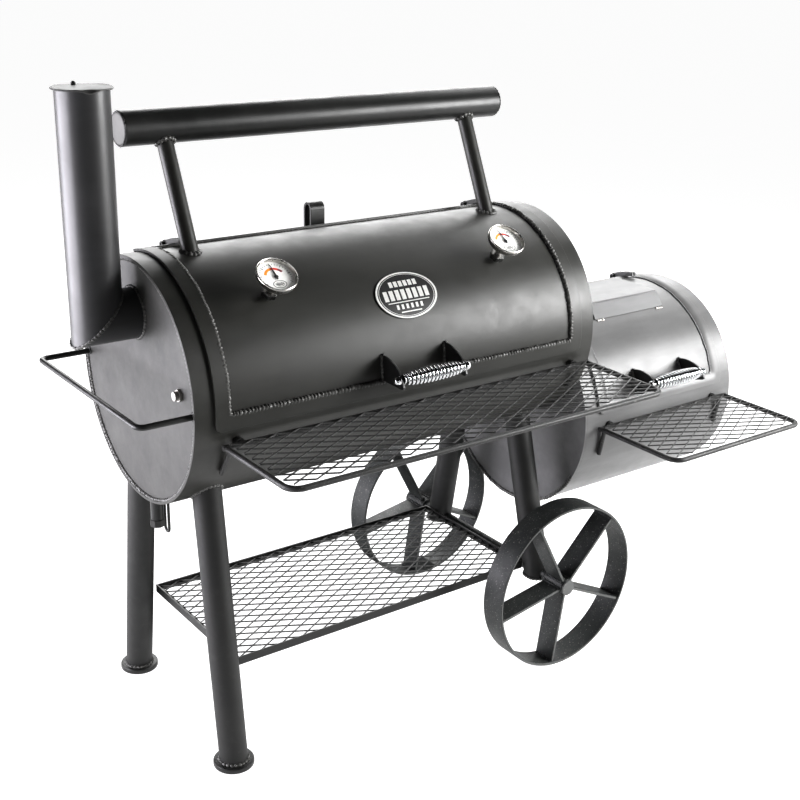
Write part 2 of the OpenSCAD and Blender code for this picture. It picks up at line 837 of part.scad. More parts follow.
module cooking_grate_left() {
    color("dimgray") placed()
        slotted_grate(grate_mid - grate_l, grate_mid - 1, grate_half, grate_z - 3.9, 8, 22, 10);
}

module cooking_grate_right() {
    color("dimgray") placed()
        slotted_grate(grate_mid + 1, grate_mid + grate_l, grate_half, grate_z - 3.9, 8, 22, 10);
}

// Heavy grate that stands on the firebox floor
module fire_grate() {
    x0 = firebox_x + 70;
    x1 = end_x - 70;
    half = 190;
    color("dimgray") placed() {
        slotted_grate(x0, x1, half, fire_grate_z, 12, 10, 16);
        intersection() {
            for (x = [x0 + 10, x1 - 22], y = [-150, 138])
                translate([x, y, firebox_z - shell_r]) cube([12, 12, fire_grate_z - firebox_z + shell_r]);
            rod_x(x0, x1, 0, firebox_z, inner_r - 0.1);
        }
    }
}

chamber_shell();
chamber_end_left();
chamber_end_right();
firebox_shell();
firebox_end_left();
firebox_end_right();
heat_baffle();
grate_rails();
stack_stub();
stack_pipe();
stack_lid();
pivot_bolts();
side_handle();
end_plug();
drain_pipe();
bucket_hook();
door_stop();
shelf_sockets();
hinge_knuckles();
leg_front_left();
leg_back_left();
leg_front_right();
leg_back_right();
foot_flanges();
axle();
lower_shelf_frame();
lower_shelf_mesh();
door_panel();
door_strap();
door_hinge_knuckles();
door_fins();
door_handle_rod();
door_handle_spring();
badge();
counterweight_posts();
counterweight_tube();
thermometer_left();
dial_left();
needle_left();
thermometer_right();
dial_right();
needle_right();
firebox_door_panel();
firebox_door_strap();
firebox_door_knuckles();
firebox_fins();
firebox_handle_rod();
firebox_handle_spring();
warming_plate();
air_damper();
wheel_front();
wheel_back();
main_shelf_frame();
main_shelf_mesh();
firebox_shelf_frame();
firebox_shelf_mesh();
cooking_grate_left();
cooking_grate_right();
fire_grate();
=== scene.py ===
"""Looks of the offset barrel charcoal grill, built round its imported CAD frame.

Every shape is drawn in millimetres in the grill's own frame: X runs along the barrel from its left end,
Y is zero on the barrel's axis with the doors towards -Y, and Z is zero on the floor. Angles on a barrel are
measured in degrees from the front, over the top. A piece is moved to the shared frame when it is made.
"""

import math
import random

import bmesh
import bpy
from mathutils import Matrix, Vector

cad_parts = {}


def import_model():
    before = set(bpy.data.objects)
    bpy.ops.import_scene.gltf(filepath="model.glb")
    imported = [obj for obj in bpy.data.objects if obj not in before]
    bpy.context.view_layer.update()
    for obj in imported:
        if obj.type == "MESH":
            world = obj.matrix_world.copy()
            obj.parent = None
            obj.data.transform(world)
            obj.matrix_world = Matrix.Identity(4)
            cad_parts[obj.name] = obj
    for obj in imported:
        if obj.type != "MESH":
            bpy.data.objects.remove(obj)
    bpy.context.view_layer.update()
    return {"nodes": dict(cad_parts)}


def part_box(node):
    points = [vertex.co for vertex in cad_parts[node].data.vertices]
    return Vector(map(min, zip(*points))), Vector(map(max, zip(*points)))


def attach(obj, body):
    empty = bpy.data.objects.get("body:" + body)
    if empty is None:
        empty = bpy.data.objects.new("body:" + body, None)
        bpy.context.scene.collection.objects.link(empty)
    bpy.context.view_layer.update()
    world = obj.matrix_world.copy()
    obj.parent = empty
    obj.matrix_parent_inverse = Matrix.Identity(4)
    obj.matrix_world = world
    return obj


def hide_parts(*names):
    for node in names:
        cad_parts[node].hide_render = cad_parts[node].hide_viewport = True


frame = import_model()

ALONG = Vector((1, 0, 0))
BACK = Vector((0, 1, 0))
UP = Vector((0, 0, 1))


# ---------------------------------------------------------------- dimensions

def box_mm(node):
    """A CAD node's lowest and highest corners, in millimetres in the shared frame."""
    low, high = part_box(node)
    return low * 1000, high * 1000


shell_low, shell_high = box_mm("chamber_shell")
fire_low, fire_high = box_mm("firebox_shell")
ORIGIN = Vector((shell_low.x, (shell_low.y + shell_high.y) / 2, 0))
CHAMBER_L = shell_high.x - shell_low.x
SHELL_R = (shell_high.z - shell_low.z) / 2
AXIS_Z = (shell_high.z + shell_low.z) / 2
FIRE_Z = (fire_high.z + fire_low.z) / 2
FIRE_X = CHAMBER_L
END_X = fire_high.x - ORIGIN.x
FIRE_MID = (FIRE_X + END_X) / 2


def own_box(node):
    """A CAD node's lowest and highest corners, in millimetres in the grill's own frame."""
    low, high = box_mm(node)
    return low - ORIGIN, high - ORIGIN


WALL = 6
INNER_R = SHELL_R - WALL
PLATE_INSET = 5
STRAP_MARGIN = 41
STRAP_W = 30
STRAP_T = 6
STRAP_A = math.degrees(STRAP_W / SHELL_R)
DOOR_LOW = -8.3
FIRE_DOOR_LOW = 8.2
PANEL_HIGH = 108
CUT_IN = STRAP_MARGIN + STRAP_W / 2
PANEL_GAP = 1.5
HANDLE_RAD = 315
FIN_A = 12
FIN_GAP = 160
FIN_T = 6
PIN_R = 5
ROD_R = 6
LONG_PITCH = 51
SHORT_PITCH = 28


# ---------------------------------------------------------------- shapes

def polar(x, radius, angle, z):
    """A point at a radius and an angle about a barrel's axis."""
    a = math.radians(angle)
    return Vector((x, -radius * math.cos(a), z + radius * math.sin(a)))


def spaced(start, end, step):
    """Evenly spaced values from start to end, at most step apart."""
    count = max(1, math.ceil(abs(end - start) / step - 1e-6))
    return [start + (end - start) * i / count for i in range(count + 1)]


def circle(radius, segments):
    """Offsets round a circle."""
    turns = [2 * math.pi * i / segments for i in range(segments)]
    return [(radius * math.cos(t), radius * math.sin(t)) for t in turns]


def resampled(path, step, closed=False):
    """The path with points at an even spacing."""
    points = list(path) + ([path[0]] if closed else [])
    lengths = [0.0]
    for a, b in zip(points, points[1:]):
        lengths.append(lengths[-1] + (b - a).length)
    count = max(2, round(lengths[-1] / step))
    result = []
    k = 0
    for i in range(count if closed else count + 1):
        want = lengths[-1] * i / count
        while k < len(points) - 2 and lengths[k + 1] < want:
            k += 1
        span = lengths[k + 1] - lengths[k]
        share = (want - lengths[k]) / span if span else 0
        result.append(points[k].lerp(points[k + 1], share))
    return result


def rounded_path(corners, radius, steps):
    """A path through the corners, with each bend rounded to a radius."""
    path = [corners[0]]
    for last, corner, following in zip(corners, corners[1:], corners[2:]):
        before = (last - corner).normalized()
        after = (following - corner).normalized()
        half = before.angle(after) / 2
        cut = radius / math.tan(half)
        middle = corner + (before + after).normalized() * (radius / math.sin(half))
        start = (corner + before * cut - middle).normalized()
        end = (corner + after * cut - middle).normalized()
        path.extend(middle + start.slerp(end, k / steps) * radius for k in range(steps + 1))
    return path + [corners[-1]]


def bar_profile(radius, length):
    """Profile (radius, distance) of a round bar with broken edges."""
    return [(radius - 1, 0), (radius, 1), (radius, length - 1), (radius - 1, length)]


class Shape:
    """Points in millimetres in the grill's own frame, with the faces between them."""

    def __init__(self):
        self.points = []
        self.faces = []

    def grid(self, rows, close_rows=False, close_columns=False, caps=False):
        """Skins rows of points that all have one length."""
        first = len(self.points)
        width = len(rows[0])
        for row in rows:
            self.points.extend(row)
        for i in range(len(rows) - (0 if close_rows else 1)):
            a = first + i * width
            b = first + (i + 1) % len(rows) * width
            for k in range(width - (0 if close_columns else 1)):
                n = (k + 1) % width
                self.faces.append((a + k, a + n, b + n, b + k))
        if caps:
            last = first + (len(rows) - 1) * width
            self.faces.append(tuple(range(first + width - 1, first - 1, -1)))
            self.faces.append(tuple(range(last, last + width)))
        return self

    def sweep(self, path, section, closed=False, up=None):
        """Sweeps a section of (sideways, up) offsets along a path. up gives each point's up direction."""
        count = len(path)
        rows = []
        carried = None
        for i, point in enumerate(path):
            before = path[(i - 1) % count] if closed or i else point
            after = path[(i + 1) % count] if closed or i < count - 1 else point
            along = (after - before).normalized()
            if up:
                lift = up(i)
            elif carried is None:
                lift = UP if abs(along.z) < 0.9 else ALONG
            else:
                lift = carried
            side = along.cross(lift).normalized()
            lift = side.cross(along)
            carried = lift
            offsets = section(i) if callable(section) else section
            rows.append([point + side * u + lift * v for u, v in offsets])
        return self.grid(rows, close_rows=closed, close_columns=True, caps=not closed)

    def rod(self, path, radius, segments):
        """A round rod along a path."""
        return self.sweep(path, circle(radius, segments))

    def turned(self, profile, base, axis, segments=48, ring=False):
        """Turns a profile of (radius, distance along the axis) about an axis."""
        ahead = Vector(axis).normalized()
        side = ahead.orthogonal().normalized()
        other = ahead.cross(side)
        rows = []
        for radius, along in profile:
            middle = Vector(base) + ahead * along
            rows.append([middle + side * u + other * v for u, v in circle(radius, segments)])
        return self.grid(rows, close_rows=ring, close_columns=True, caps=not ring)

    def plate(self, outline, offset):
        """Extrudes a flat outline of points by an offset."""
        offset = Vector(offset)
        outline = [Vector(p) for p in outline]
        return self.grid([outline, [p + offset for p in outline]], close_columns=True, caps=True)

    def rolled(self, x_lines, angles, z, r0, r1, keep=None, wrap=False):
        """Rolled sheet between two radii, on a grid of X lines and angles, with only the cells to keep."""
        first = len(self.points)
        wide = len(angles)
        for radius in (r0, r1):
            for x in x_lines:
                self.points.extend(polar(x, radius, a, z) for a in angles)

        def at(layer, i, k):
            return first + (layer * len(x_lines) + i) * wide + k % wide

        columns = range(wide if wrap else wide - 1)
        cells = {(i, k) for i in range(len(x_lines) - 1) for k in columns if keep is None or keep(i, k)}
        for i, k in cells:
            for layer in (0, 1):
                corners = ((i, k), (i + 1, k), (i + 1, k + 1), (i, k + 1))
                self.faces.append(tuple(at(layer, *corner) for corner in corners))
            for beside, p, q in (
                ((i - 1, k), (i, k), (i, k + 1)),
                ((i + 1, k), (i + 1, k), (i + 1, k + 1)),
                ((i, k - 1), (i, k), (i + 1, k)),
                ((i, k + 1), (i, k + 1), (i + 1, k + 1)),
            ):
                if (beside[0], beside[1] % wide if wrap else beside[1]) not in cells:
                    self.faces.append((at(0, *p), at(0, *q), at(1, *q), at(1, *p)))
        return self

    def coped(self, low, high, radius, low_cut, high_cut, wall=4, segments=40):
        """Pipe whose ends are cut by low_cut and high_cut, each a function from a line to a point on it."""
        along = (high - low).normalized()
        side = along.orthogonal().normalized()
        other = along.cross(side)
        ends = []
        for r in (radius, radius - wall):
            for cut in (low_cut, high_cut):
                ends.append([cut(low + side * u + other * v, along) for u, v in circle(r, segments)])
        outer_low, outer_high, inner_low, inner_high = ends
        self.grid([outer_low, outer_high, inner_high, inner_low], close_rows=True, close_columns=True)
        return outer_low, outer_high

    def weld(self, path, outward, width=7.0, height=3.2, closed=True, seed=1, step=1.6):
        """A rippled weld bead along a path. outward maps a point to the direction the bead bulges in."""
        draw = random.Random(seed)
        path = resampled(path, step, closed)
        ripple = 0.0
        drift = 0.0
        sizes = []
        drifts = []
        for _ in path:
            ripple += step / draw.uniform(6.5, 9.5)
            drift = drift * 0.8 + draw.uniform(-0.5, 0.5)
            sizes.append(0.70 + 0.4 * abs(math.sin(math.pi * ripple)) + draw.uniform(-0.1, 0.1))
            drifts.append(drift)
        turns = [math.radians(t) for t in (-35, 0, 30, 60, 90, 120, 150, 180, 215)]

        def section(i):
            size = sizes[i]
            return [(width / 2 * size * math.cos(t) + drifts[i], height * size * math.sin(t)) for t in turns]

        return self.sweep(path, section, closed, up=lambda i: outward(path[i]))


def flat_cut(z):
    """Cuts a line at a level."""
    return lambda point, along: point + along * ((z - point.z) / along.z)


def barrel_cut(y, z, radius, near):
    """Cuts a line where it meets a barrel, at the first crossing if near, or else at the second."""
    def cut(point, along):
        py, pz = point.y - y, point.z - z
        a = along.y ** 2 + along.z ** 2
        b = 2 * (py * along.y + pz * along.z)
        c = py ** 2 + pz ** 2 - radius ** 2
        root = math.sqrt(max(0, b * b - 4 * a * c))
        return point + along * ((-b - root if near else -b + root) / (2 * a))
    return cut


def always(direction):
    """The same outward direction at every point of a weld."""
    return lambda point: direction


def from_axis(y, z):
    """The direction away from a barrel's axis."""
    return lambda p: Vector((0, p.y - y, p.z - z)).normalized()


def rounded_frame(x0, x1, s0, s1, radius, steps=6, side_steps=40):
    """Outline (x, s) of a rectangle with rounded corners, always with the same number of points."""
    corners = [
        ((x0 + radius, s0 + radius), 180),
        ((x1 - radius, s0 + radius), 270),
        ((x1 - radius, s1 - radius), 0),
        ((x0 + radius, s1 - radius), 90),
    ]

    def on_corner(index, share):
        (cx, cs), start = corners[index % 4]
        t = math.radians(start + 90 * share)
        return cx + radius * math.cos(t), cs + radius * math.sin(t)

    outline = []
    for index in range(4):
        outline += [on_corner(index, k / steps) for k in range(steps + 1)]
        begin, end = outline[-1], on_corner(index + 1, 0)
        for k in range(1, side_steps):
            share = k / side_steps
            outline.append((begin[0] + (end[0] - begin[0]) * share, begin[1] + (end[1] - begin[1]) * share))
    return outline


# ---------------------------------------------------------------- materials

class Nodes:
    """Short ways to add shader nodes to one material."""

    def __init__(self, name):
        self.material = bpy.data.materials.new(name)
        self.material.use_nodes = True
        self.tree = self.material.node_tree
        self.shader = self.tree.nodes["Principled BSDF"]
        self.place = self.add("ShaderNodeTexCoord").outputs["Object"]

    def add(self, kind, **values):
        node = self.tree.nodes.new(kind)
        for key, value in values.items():
            setattr(node, key, value)
        return node

    def link(self, source, target):
        self.tree.links.new(source, target)

    def noise(self, scale, detail=4.0, roughness=0.55, stretch=None):
        """Noise in the piece's own space, stretched along an axis if asked."""
        node = self.add("ShaderNodeTexNoise")
        node.inputs["Scale"].default_value = scale
        node.inputs["Detail"].default_value = detail
        node.inputs["Roughness"].default_value = roughness
        source = self.place
        if stretch:
            mapping = self.add("ShaderNodeMapping")
            mapping.inputs["Scale"].default_value = stretch
            self.link(self.place, mapping.inputs["Vector"])
            source = mapping.outputs["Vector"]
        self.link(source, node.inputs["Vector"])
        return node.outputs["Fac"]

    def spread(self, source, low, high, to_low, to_high):
        """Maps a value from one range to another."""
        node = self.add("ShaderNodeMapRange")
        for name, value in (("From Min", low), ("From Max", high), ("To Min", to_low), ("To Max", to_high)):
            node.inputs[name].default_value = value
        self.link(source, node.inputs["Value"])
        return node.outputs["Result"]

    def mix(self, share, first, second):
        """Mixes two colours, each a colour or another node's output."""
        node = self.add("ShaderNodeMix", data_type="RGBA")
        self.link(share, node.inputs["Factor"])
        for socket, value in ((node.inputs[6], first), (node.inputs[7], second)):
            if isinstance(value, tuple):
                socket.default_value = (*value, 1)
            else:
                self.link(value, socket)
        return node.outputs[2]

    def bump(self, source, strength, distance, before=None):
        node = self.add("ShaderNodeBump")
        node.inputs["Strength"].default_value = strength
        node.inputs["Distance"].default_value = distance
        self.link(source, node.inputs["Height"])
        if before:
            self.link(before, node.inputs["Normal"])
        return node.outputs["Normal"]

    def set(self, **values):
        """Sets or links the shader's inputs, named with underscores for spaces."""
        for key, value in values.items():
            socket = self.shader.inputs[key.replace("_", " ")]
            if isinstance(value, bpy.types.NodeSocket):
                self.link(value, socket)
            else:
                socket.default_value = value


def painted(name, base, light, rough, grain=0.05, specks=0.0, dust=0.0, coat=0.0):
    """Sprayed heat-proof paint: cloudy tone, fine grain, uneven sheen, and if asked pale specks and dust."""
    n = Nodes(name)
    cloud = n.spread(n.noise(3.2, 5.0), 0.35, 0.65, 0.0, 1.0)
    colour = n.mix(cloud, base, light)
    streak = n.spread(n.noise(9.0, 6.0, 0.6, stretch=(0.35, 1.6, 1.6)), 0.45, 0.72, 0.0, 0.35)
    colour = n.mix(streak, colour, tuple(min(1.0, c * 1.7) for c in light))
    if dust:
        powder = n.spread(n.noise(55.0, 8.0, 0.7), 0.52, 0.78, 0.0, dust)
        colour = n.mix(powder, colour, (0.20, 0.195, 0.185))
    if specks:
        speck = n.spread(n.noise(310.0, 2.0, 0.4), 0.66, 0.74, 0.0, specks)
        colour = n.mix(speck, colour, (0.30, 0.29, 0.27))
    sheen = n.spread(n.noise(22.0, 6.0, 0.6), 0.3, 0.7, *rough)
    fine = n.bump(n.noise(900.0, 2.0), grain, 0.0006)
    n.set(Base_Color=colour, Roughness=sheen, Normal=n.bump(n.noise(70.0, 3.0), grain * 0.6, 0.002, fine))
    n.set(Metallic=0.0, Coat_Weight=coat, Coat_Roughness=0.25)
    return n.material


def metal(name, base, dark, rough, scratch=0.04):
    """Bare or plated metal with cloudy tarnish and fine scratches."""
    n = Nodes(name)
    tarnish = n.spread(n.noise(38.0, 6.0, 0.6), 0.4, 0.68, 0.0, 1.0)
    lines = n.noise(260.0, 3.0, 0.6, stretch=(0.3, 2.0, 2.0))
    n.set(Base_Color=n.mix(tarnish, base, dark), Metallic=1.0)
    n.set(Roughness=n.spread(n.noise(60.0, 5.0), 0.3, 0.7, *rough), Normal=n.bump(lines, scratch, 0.0006))
    return n.material


def printed(name, base, faded, rough=0.35):
    """Ink or enamel with a slight mottle."""
    n = Nodes(name)
    n.set(Base_Color=n.mix(n.spread(n.noise(120.0, 3.0), 0.35, 0.65, 0.0, 1.0), base, faded))
    n.set(Roughness=n.spread(n.noise(80.0, 3.0), 0.3, 0.7, rough, rough + 0.12))
    n.set(Normal=n.bump(n.noise(700.0, 2.0), 0.03, 0.0004))
    return n.material


def clear_glass(name):
    """Thin glass over a dial, with faint smears in its gloss."""
    n = Nodes(name)
    n.set(Base_Color=(1, 1, 1, 1), Transmission_Weight=1.0, IOR=1.02)
    n.set(Roughness=n.spread(n.noise(40.0, 4.0), 0.3, 0.7, 0.0, 0.06))
    return n.material


PIT_PAINT = painted("pit_paint", (0.021, 0.021, 0.0185), (0.030, 0.030, 0.0265), (0.38, 0.48))
PLATE_PAINT = painted("plate_paint", (0.030, 0.030, 0.028), (0.042, 0.042, 0.039), (0.44, 0.56), dust=0.10)
STACK_PAINT = painted("stack_paint", (0.026, 0.026, 0.027), (0.036, 0.036, 0.037), (0.36, 0.46), coat=0.12)
LID_PAINT = painted("lid_paint", (0.055, 0.055, 0.053), (0.075, 0.075, 0.072), (0.46, 0.56), dust=0.2)
# Firebox paint: a lighter grey than the chamber's black. It is partly the firebox's own paint and partly
# painted glare for the strong light on that end.
FIRE_PAINT_AND_GLARE = painted("firebox_paint", (0.106, 0.106, 0.106), (0.142, 0.142, 0.142), (0.34, 0.44), dust=0.12)
# Apron paint: a lighter grey still. It is partly the sheet's own tone and partly painted glare, and it also
# serves as a painted highlight over shade lines on the firebox.
APRON_PAINT_AND_GLARE = painted("apron_paint_and_glare", (0.150, 0.150, 0.152), (0.190, 0.190, 0.192), (0.42, 0.52), dust=0.1)
FRAME_PAINT = painted("frame_paint", (0.010, 0.0105, 0.010), (0.017, 0.017, 0.016), (0.32, 0.46), dust=0.05)
LEG_PAINT = painted("leg_paint", (0.010, 0.0105, 0.010), (0.016, 0.016, 0.015), (0.48, 0.60), dust=0.05)
FIN_PAINT = painted("fin_paint", (0.010, 0.010, 0.010), (0.018, 0.018, 0.018), (0.30, 0.42), coat=0.2)
SHELF_PAINT = painted(
    "shelf_paint", (0.016, 0.016, 0.016), (0.030, 0.030, 0.029), (0.42, 0.58), specks=0.4, dust=0.15,
)
WHEEL_PAINT = painted(
    "wheel_paint", (0.013, 0.015, 0.015), (0.024, 0.027, 0.026), (0.42, 0.60),
    grain=0.09, specks=0.9, dust=0.22,
)
EDGE_PAINT = painted(
    "edge_paint", (0.055, 0.058, 0.057), (0.090, 0.093, 0.090), (0.40, 0.55),
    grain=0.08, specks=0.6, dust=0.3,
)
DISC_PAINT = painted(
    "disc_paint", (0.075, 0.078, 0.077), (0.100, 0.103, 0.101), (0.42, 0.55),
    grain=0.06, specks=0.5, dust=0.15,
)
CAP_PAINT = painted("cap_paint", (0.085, 0.085, 0.080), (0.115, 0.115, 0.110), (0.40, 0.52), dust=0.10)
WELD_PAINT = painted(
    "weld_paint", (0.050, 0.050, 0.046), (0.105, 0.105, 0.100), (0.24, 0.42),
    grain=0.45, specks=0.9, dust=0.6,
)
GRATE_STEEL = painted(
    "grate_steel", (0.045, 0.040, 0.036), (0.075, 0.068, 0.060), (0.5, 0.7), grain=0.12, specks=0.4, dust=0.2,
)
PLATED = metal("plated_steel", (0.66, 0.65, 0.62), (0.48, 0.46, 0.43), (0.2, 0.36))
CHROME = metal("chrome_wire", (0.86, 0.87, 0.88), (0.68, 0.69, 0.70), (0.06, 0.16), 0.02)
STEEL = metal("raw_steel", (0.44, 0.43, 0.41), (0.27, 0.25, 0.23), (0.32, 0.48), 0.08)
DARK_STEEL = metal("dark_steel", (0.17, 0.17, 0.165), (0.07, 0.07, 0.068), (0.22, 0.36), 0.06)
DIAL_WHITE = printed("dial_white", (0.86, 0.86, 0.84), (0.80, 0.80, 0.78))
DIAL_INK = printed("dial_ink", (0.02, 0.02, 0.02), (0.035, 0.035, 0.035))
DIAL_ORANGE = printed("dial_orange", (0.86, 0.30, 0.03), (0.78, 0.24, 0.03))
DIAL_RED = printed("dial_red", (0.55, 0.05, 0.03), (0.46, 0.04, 0.03))
DIAL_DARK_RED = printed("dial_dark_red", (0.16, 0.02, 0.03), (0.12, 0.02, 0.025))
BADGE_BLACK = printed("badge_black", (0.004, 0.004, 0.004), (0.007, 0.007, 0.007), 0.42)
BADGE_WHITE = printed("badge_white", (0.82, 0.82, 0.80), (0.72, 0.72, 0.70), 0.3)
GLASS = clear_glass("dial_glass")


# ---------------------------------------------------------------- making pieces

def soften(obj, bevel, angle=35):
    """Rounds an object's edges by a bevel in millimetres, if it is more than zero."""
    if bevel:
        edge = obj.modifiers.new("Soft edges", "BEVEL")
        edge.width = bevel / 1000
        edge.segments = 2
        edge.limit_method = "ANGLE"
        edge.angle_limit = math.radians(angle)
        edge.harden_normals = True


def piece(name, shape, body, material, slot, replaces=(), bevel=0.0, angle=35, weld_points=True):
    """Makes a mesh piece that rides on a body."""
    mesh = bpy.data.meshes.new(name)
    mesh.from_pydata([(p + ORIGIN) / 1000 for p in shape.points], [], shape.faces)
    bm = bmesh.new()
    bm.from_mesh(mesh)
    if weld_points:
        bmesh.ops.remove_doubles(bm, verts=bm.verts, dist=2e-6)
    bmesh.ops.delete(bm, geom=[v for v in bm.verts if not v.link_faces], context="VERTS")
    bmesh.ops.recalc_face_normals(bm, faces=bm.faces)
    bm.to_mesh(mesh)
    bm.free()
    mesh.shade_smooth()
    mesh.set_sharp_from_angle(angle=math.radians(angle))
    obj = bpy.data.objects.new(name, mesh)
    bpy.context.scene.collection.objects.link(obj)
    mesh.materials.append(material)
    soften(obj, bevel, angle)
    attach(obj, body)
    if replaces:
        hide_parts(*replaces)
    return obj


def look(node, shape, body, material, slot, **options):
    """Makes the piece that is shown in place of a CAD node."""
    return piece(node + "_look", shape, body, material, slot, [node], **options)


def carried(node, material, bevel=0.0):
    """Gives a CAD node that stays its finish, and soft edges if asked."""
    obj = frame["nodes"][node]
    for material_slot in obj.material_slots:
        material_slot.link = "OBJECT"
        material_slot.material = material
    soften(obj, bevel)


# ---------------------------------------------------------------- barrels and doors

ARC_STEP = 2.5


def barrel(name, x0, x1, z, cut_x, low, body, material, slot):
    """Rolled shell with the door's opening cut out of it."""
    door = spaced(low + STRAP_A / 2, PANEL_HIGH + 0.4, ARC_STEP)
    rest = spaced(PANEL_HIGH + 0.4, low + STRAP_A / 2 + 360, ARC_STEP)[1:-1]
    shape = Shape().rolled(
        [x0, *cut_x, x1], door + rest, z, INNER_R, SHELL_R,
        keep=lambda i, k: i != 1 or k >= len(door) - 1, wrap=True,
    )
    look(name, shape, body, material, slot, bevel=1.0)


def door_panel(name, x0, x1, z, low, body, material, slot):
    """Curved door skin inside the shell's cut."""
    lines = [x0 + CUT_IN + PANEL_GAP, x1 - CUT_IN - PANEL_GAP]
    angles = spaced(low + STRAP_A / 2 + 0.4, PANEL_HIGH, ARC_STEP)
    shape = Shape().rolled(lines, angles, z, INNER_R, SHELL_R)
    look(name, shape, body, material, slot, bevel=0.8)


def door_strap(name, x0, x1, z, low, body, material, weld_paint, slot, ground=0.0, bead=(11, 5.4)):
    """Flat strap round a door, with a weld bead along its inner edge that is lower across the top.

    The inner edge is ground down by ground, and bead is the weld's width and height.
    """
    scale = SHELL_R * math.pi / 180
    outer = (x0 + STRAP_MARGIN, x1 - STRAP_MARGIN, low * scale, PANEL_HIGH * scale)
    inset = [0, STRAP_W / 3, STRAP_W * 2 / 3, STRAP_W]
    outlines = [
        rounded_frame(outer[0] + d, outer[1] - d, outer[2] + d, outer[3] - d, 14 - d * 0.2) for d in inset
    ]
    r0 = SHELL_R + 0.2
    r1 = r0 + STRAP_T

    def wrapped(outline, radius):
        return [polar(x, radius, s / scale, z) for x, s in outline]

    edge = rounded_frame(*outer, 14)
    rows = [wrapped(edge, r0)] + [wrapped(o, r1) for o in outlines[:-1]]
    rows += [wrapped(outlines[-1], r1 - ground), wrapped(outlines[-1], r0)]
    shape = Shape().grid(rows, close_rows=True, close_columns=True)
    look(name, shape, body, material, slot, bevel=1.2)
    inner = outlines[-1]
    upper = [i for i, (_, s) in enumerate(inner) if s > outer[3] - STRAP_W - 2]
    sides = inner[upper[-1]:] + inner[:upper[0] + 1]
    across = inner[upper[0]:upper[-1] + 1]
    beads = Shape()
    beads.weld(wrapped(sides, SHELL_R + bead[1] / 4), from_axis(0, z), *bead, closed=False, seed=len(name))
    beads.weld(wrapped(across, SHELL_R + 0.6), from_axis(0, z), 6, 1.6, closed=False, seed=len(name) + 1)
    piece(name + "_weld", beads, body, weld_paint, slot)


def end_weld(name, x, z, facing, body, seed):
    """Weld bead between an end plate and the shell's inner wall."""
    ring = [polar(x, INNER_R - 1.2, a, z) for a in spaced(0, 360, 3)[:-1]]

    def outward(point):
        inward = Vector((0, -point.y, z - point.z)).normalized()
        return (ALONG * facing + inward).normalized()

    bead = Shape().weld(ring, outward, width=9, height=4.2, seed=seed)
    piece(name, bead, body, WELD_PAINT, "black_paint")


barrel(
    "chamber_shell", 0, CHAMBER_L, AXIS_Z, (CUT_IN, CHAMBER_L - CUT_IN), DOOR_LOW,
    "pit", PIT_PAINT, "black_paint",
)
barrel(
    "firebox_shell", FIRE_X + WALL, END_X, FIRE_Z, (FIRE_X + CUT_IN, END_X - CUT_IN), FIRE_DOOR_LOW,
    "pit", FIRE_PAINT_AND_GLARE, "firebox_paint",
)
door_panel("door_panel", 0, CHAMBER_L, AXIS_Z, DOOR_LOW, "chamber_door", PIT_PAINT, "black_paint")
door_panel(
    "firebox_door_panel", FIRE_X, END_X, FIRE_Z, FIRE_DOOR_LOW, "firebox_door", FIRE_PAINT_AND_GLARE, "firebox_paint",
)
door_strap("door_strap", 0, CHAMBER_L, AXIS_Z, DOOR_LOW, "chamber_door", PIT_PAINT, WELD_PAINT, "black_paint")
# The firebox strap's weld bead is in the light apron paint: a painted highlight over the dark line of shade
# along the strap's edge.
door_strap(
    "firebox_door_strap", FIRE_X, END_X, FIRE_Z, FIRE_DOOR_LOW, "firebox_door", FIRE_PAINT_AND_GLARE, APRON_PAINT_AND_GLARE,
    "firebox_paint", ground=4.6, bead=(5, 2.4),
)
end_weld("left_end_weld", PLATE_INSET, AXIS_Z, -1, "pit", 11)
end_weld("right_end_weld", CHAMBER_L - PLATE_INSET, AXIS_Z, 1, "pit", 12)
end_weld("firebox_end_weld", END_X - PLATE_INSET, FIRE_Z, 1, "pit", 13)
neck = [polar(FIRE_X - 1, SHELL_R - 2, a, FIRE_Z) for a in spaced(-150, -30, 3)]
piece(
    "neck_weld",
    Shape().weld(neck, always(-ALONG), 9, 4, closed=False, seed=14),
    "pit", WELD_PAINT, "firebox_paint",
)
for node in ("chamber_end_left", "chamber_end_right"):
    carried(node, PLATE_PAINT)
for node in ("firebox_end_left", "firebox_end_right"):
    carried(node, FIRE_PAINT_AND_GLARE)


# ---------------------------------------------------------------- door handles

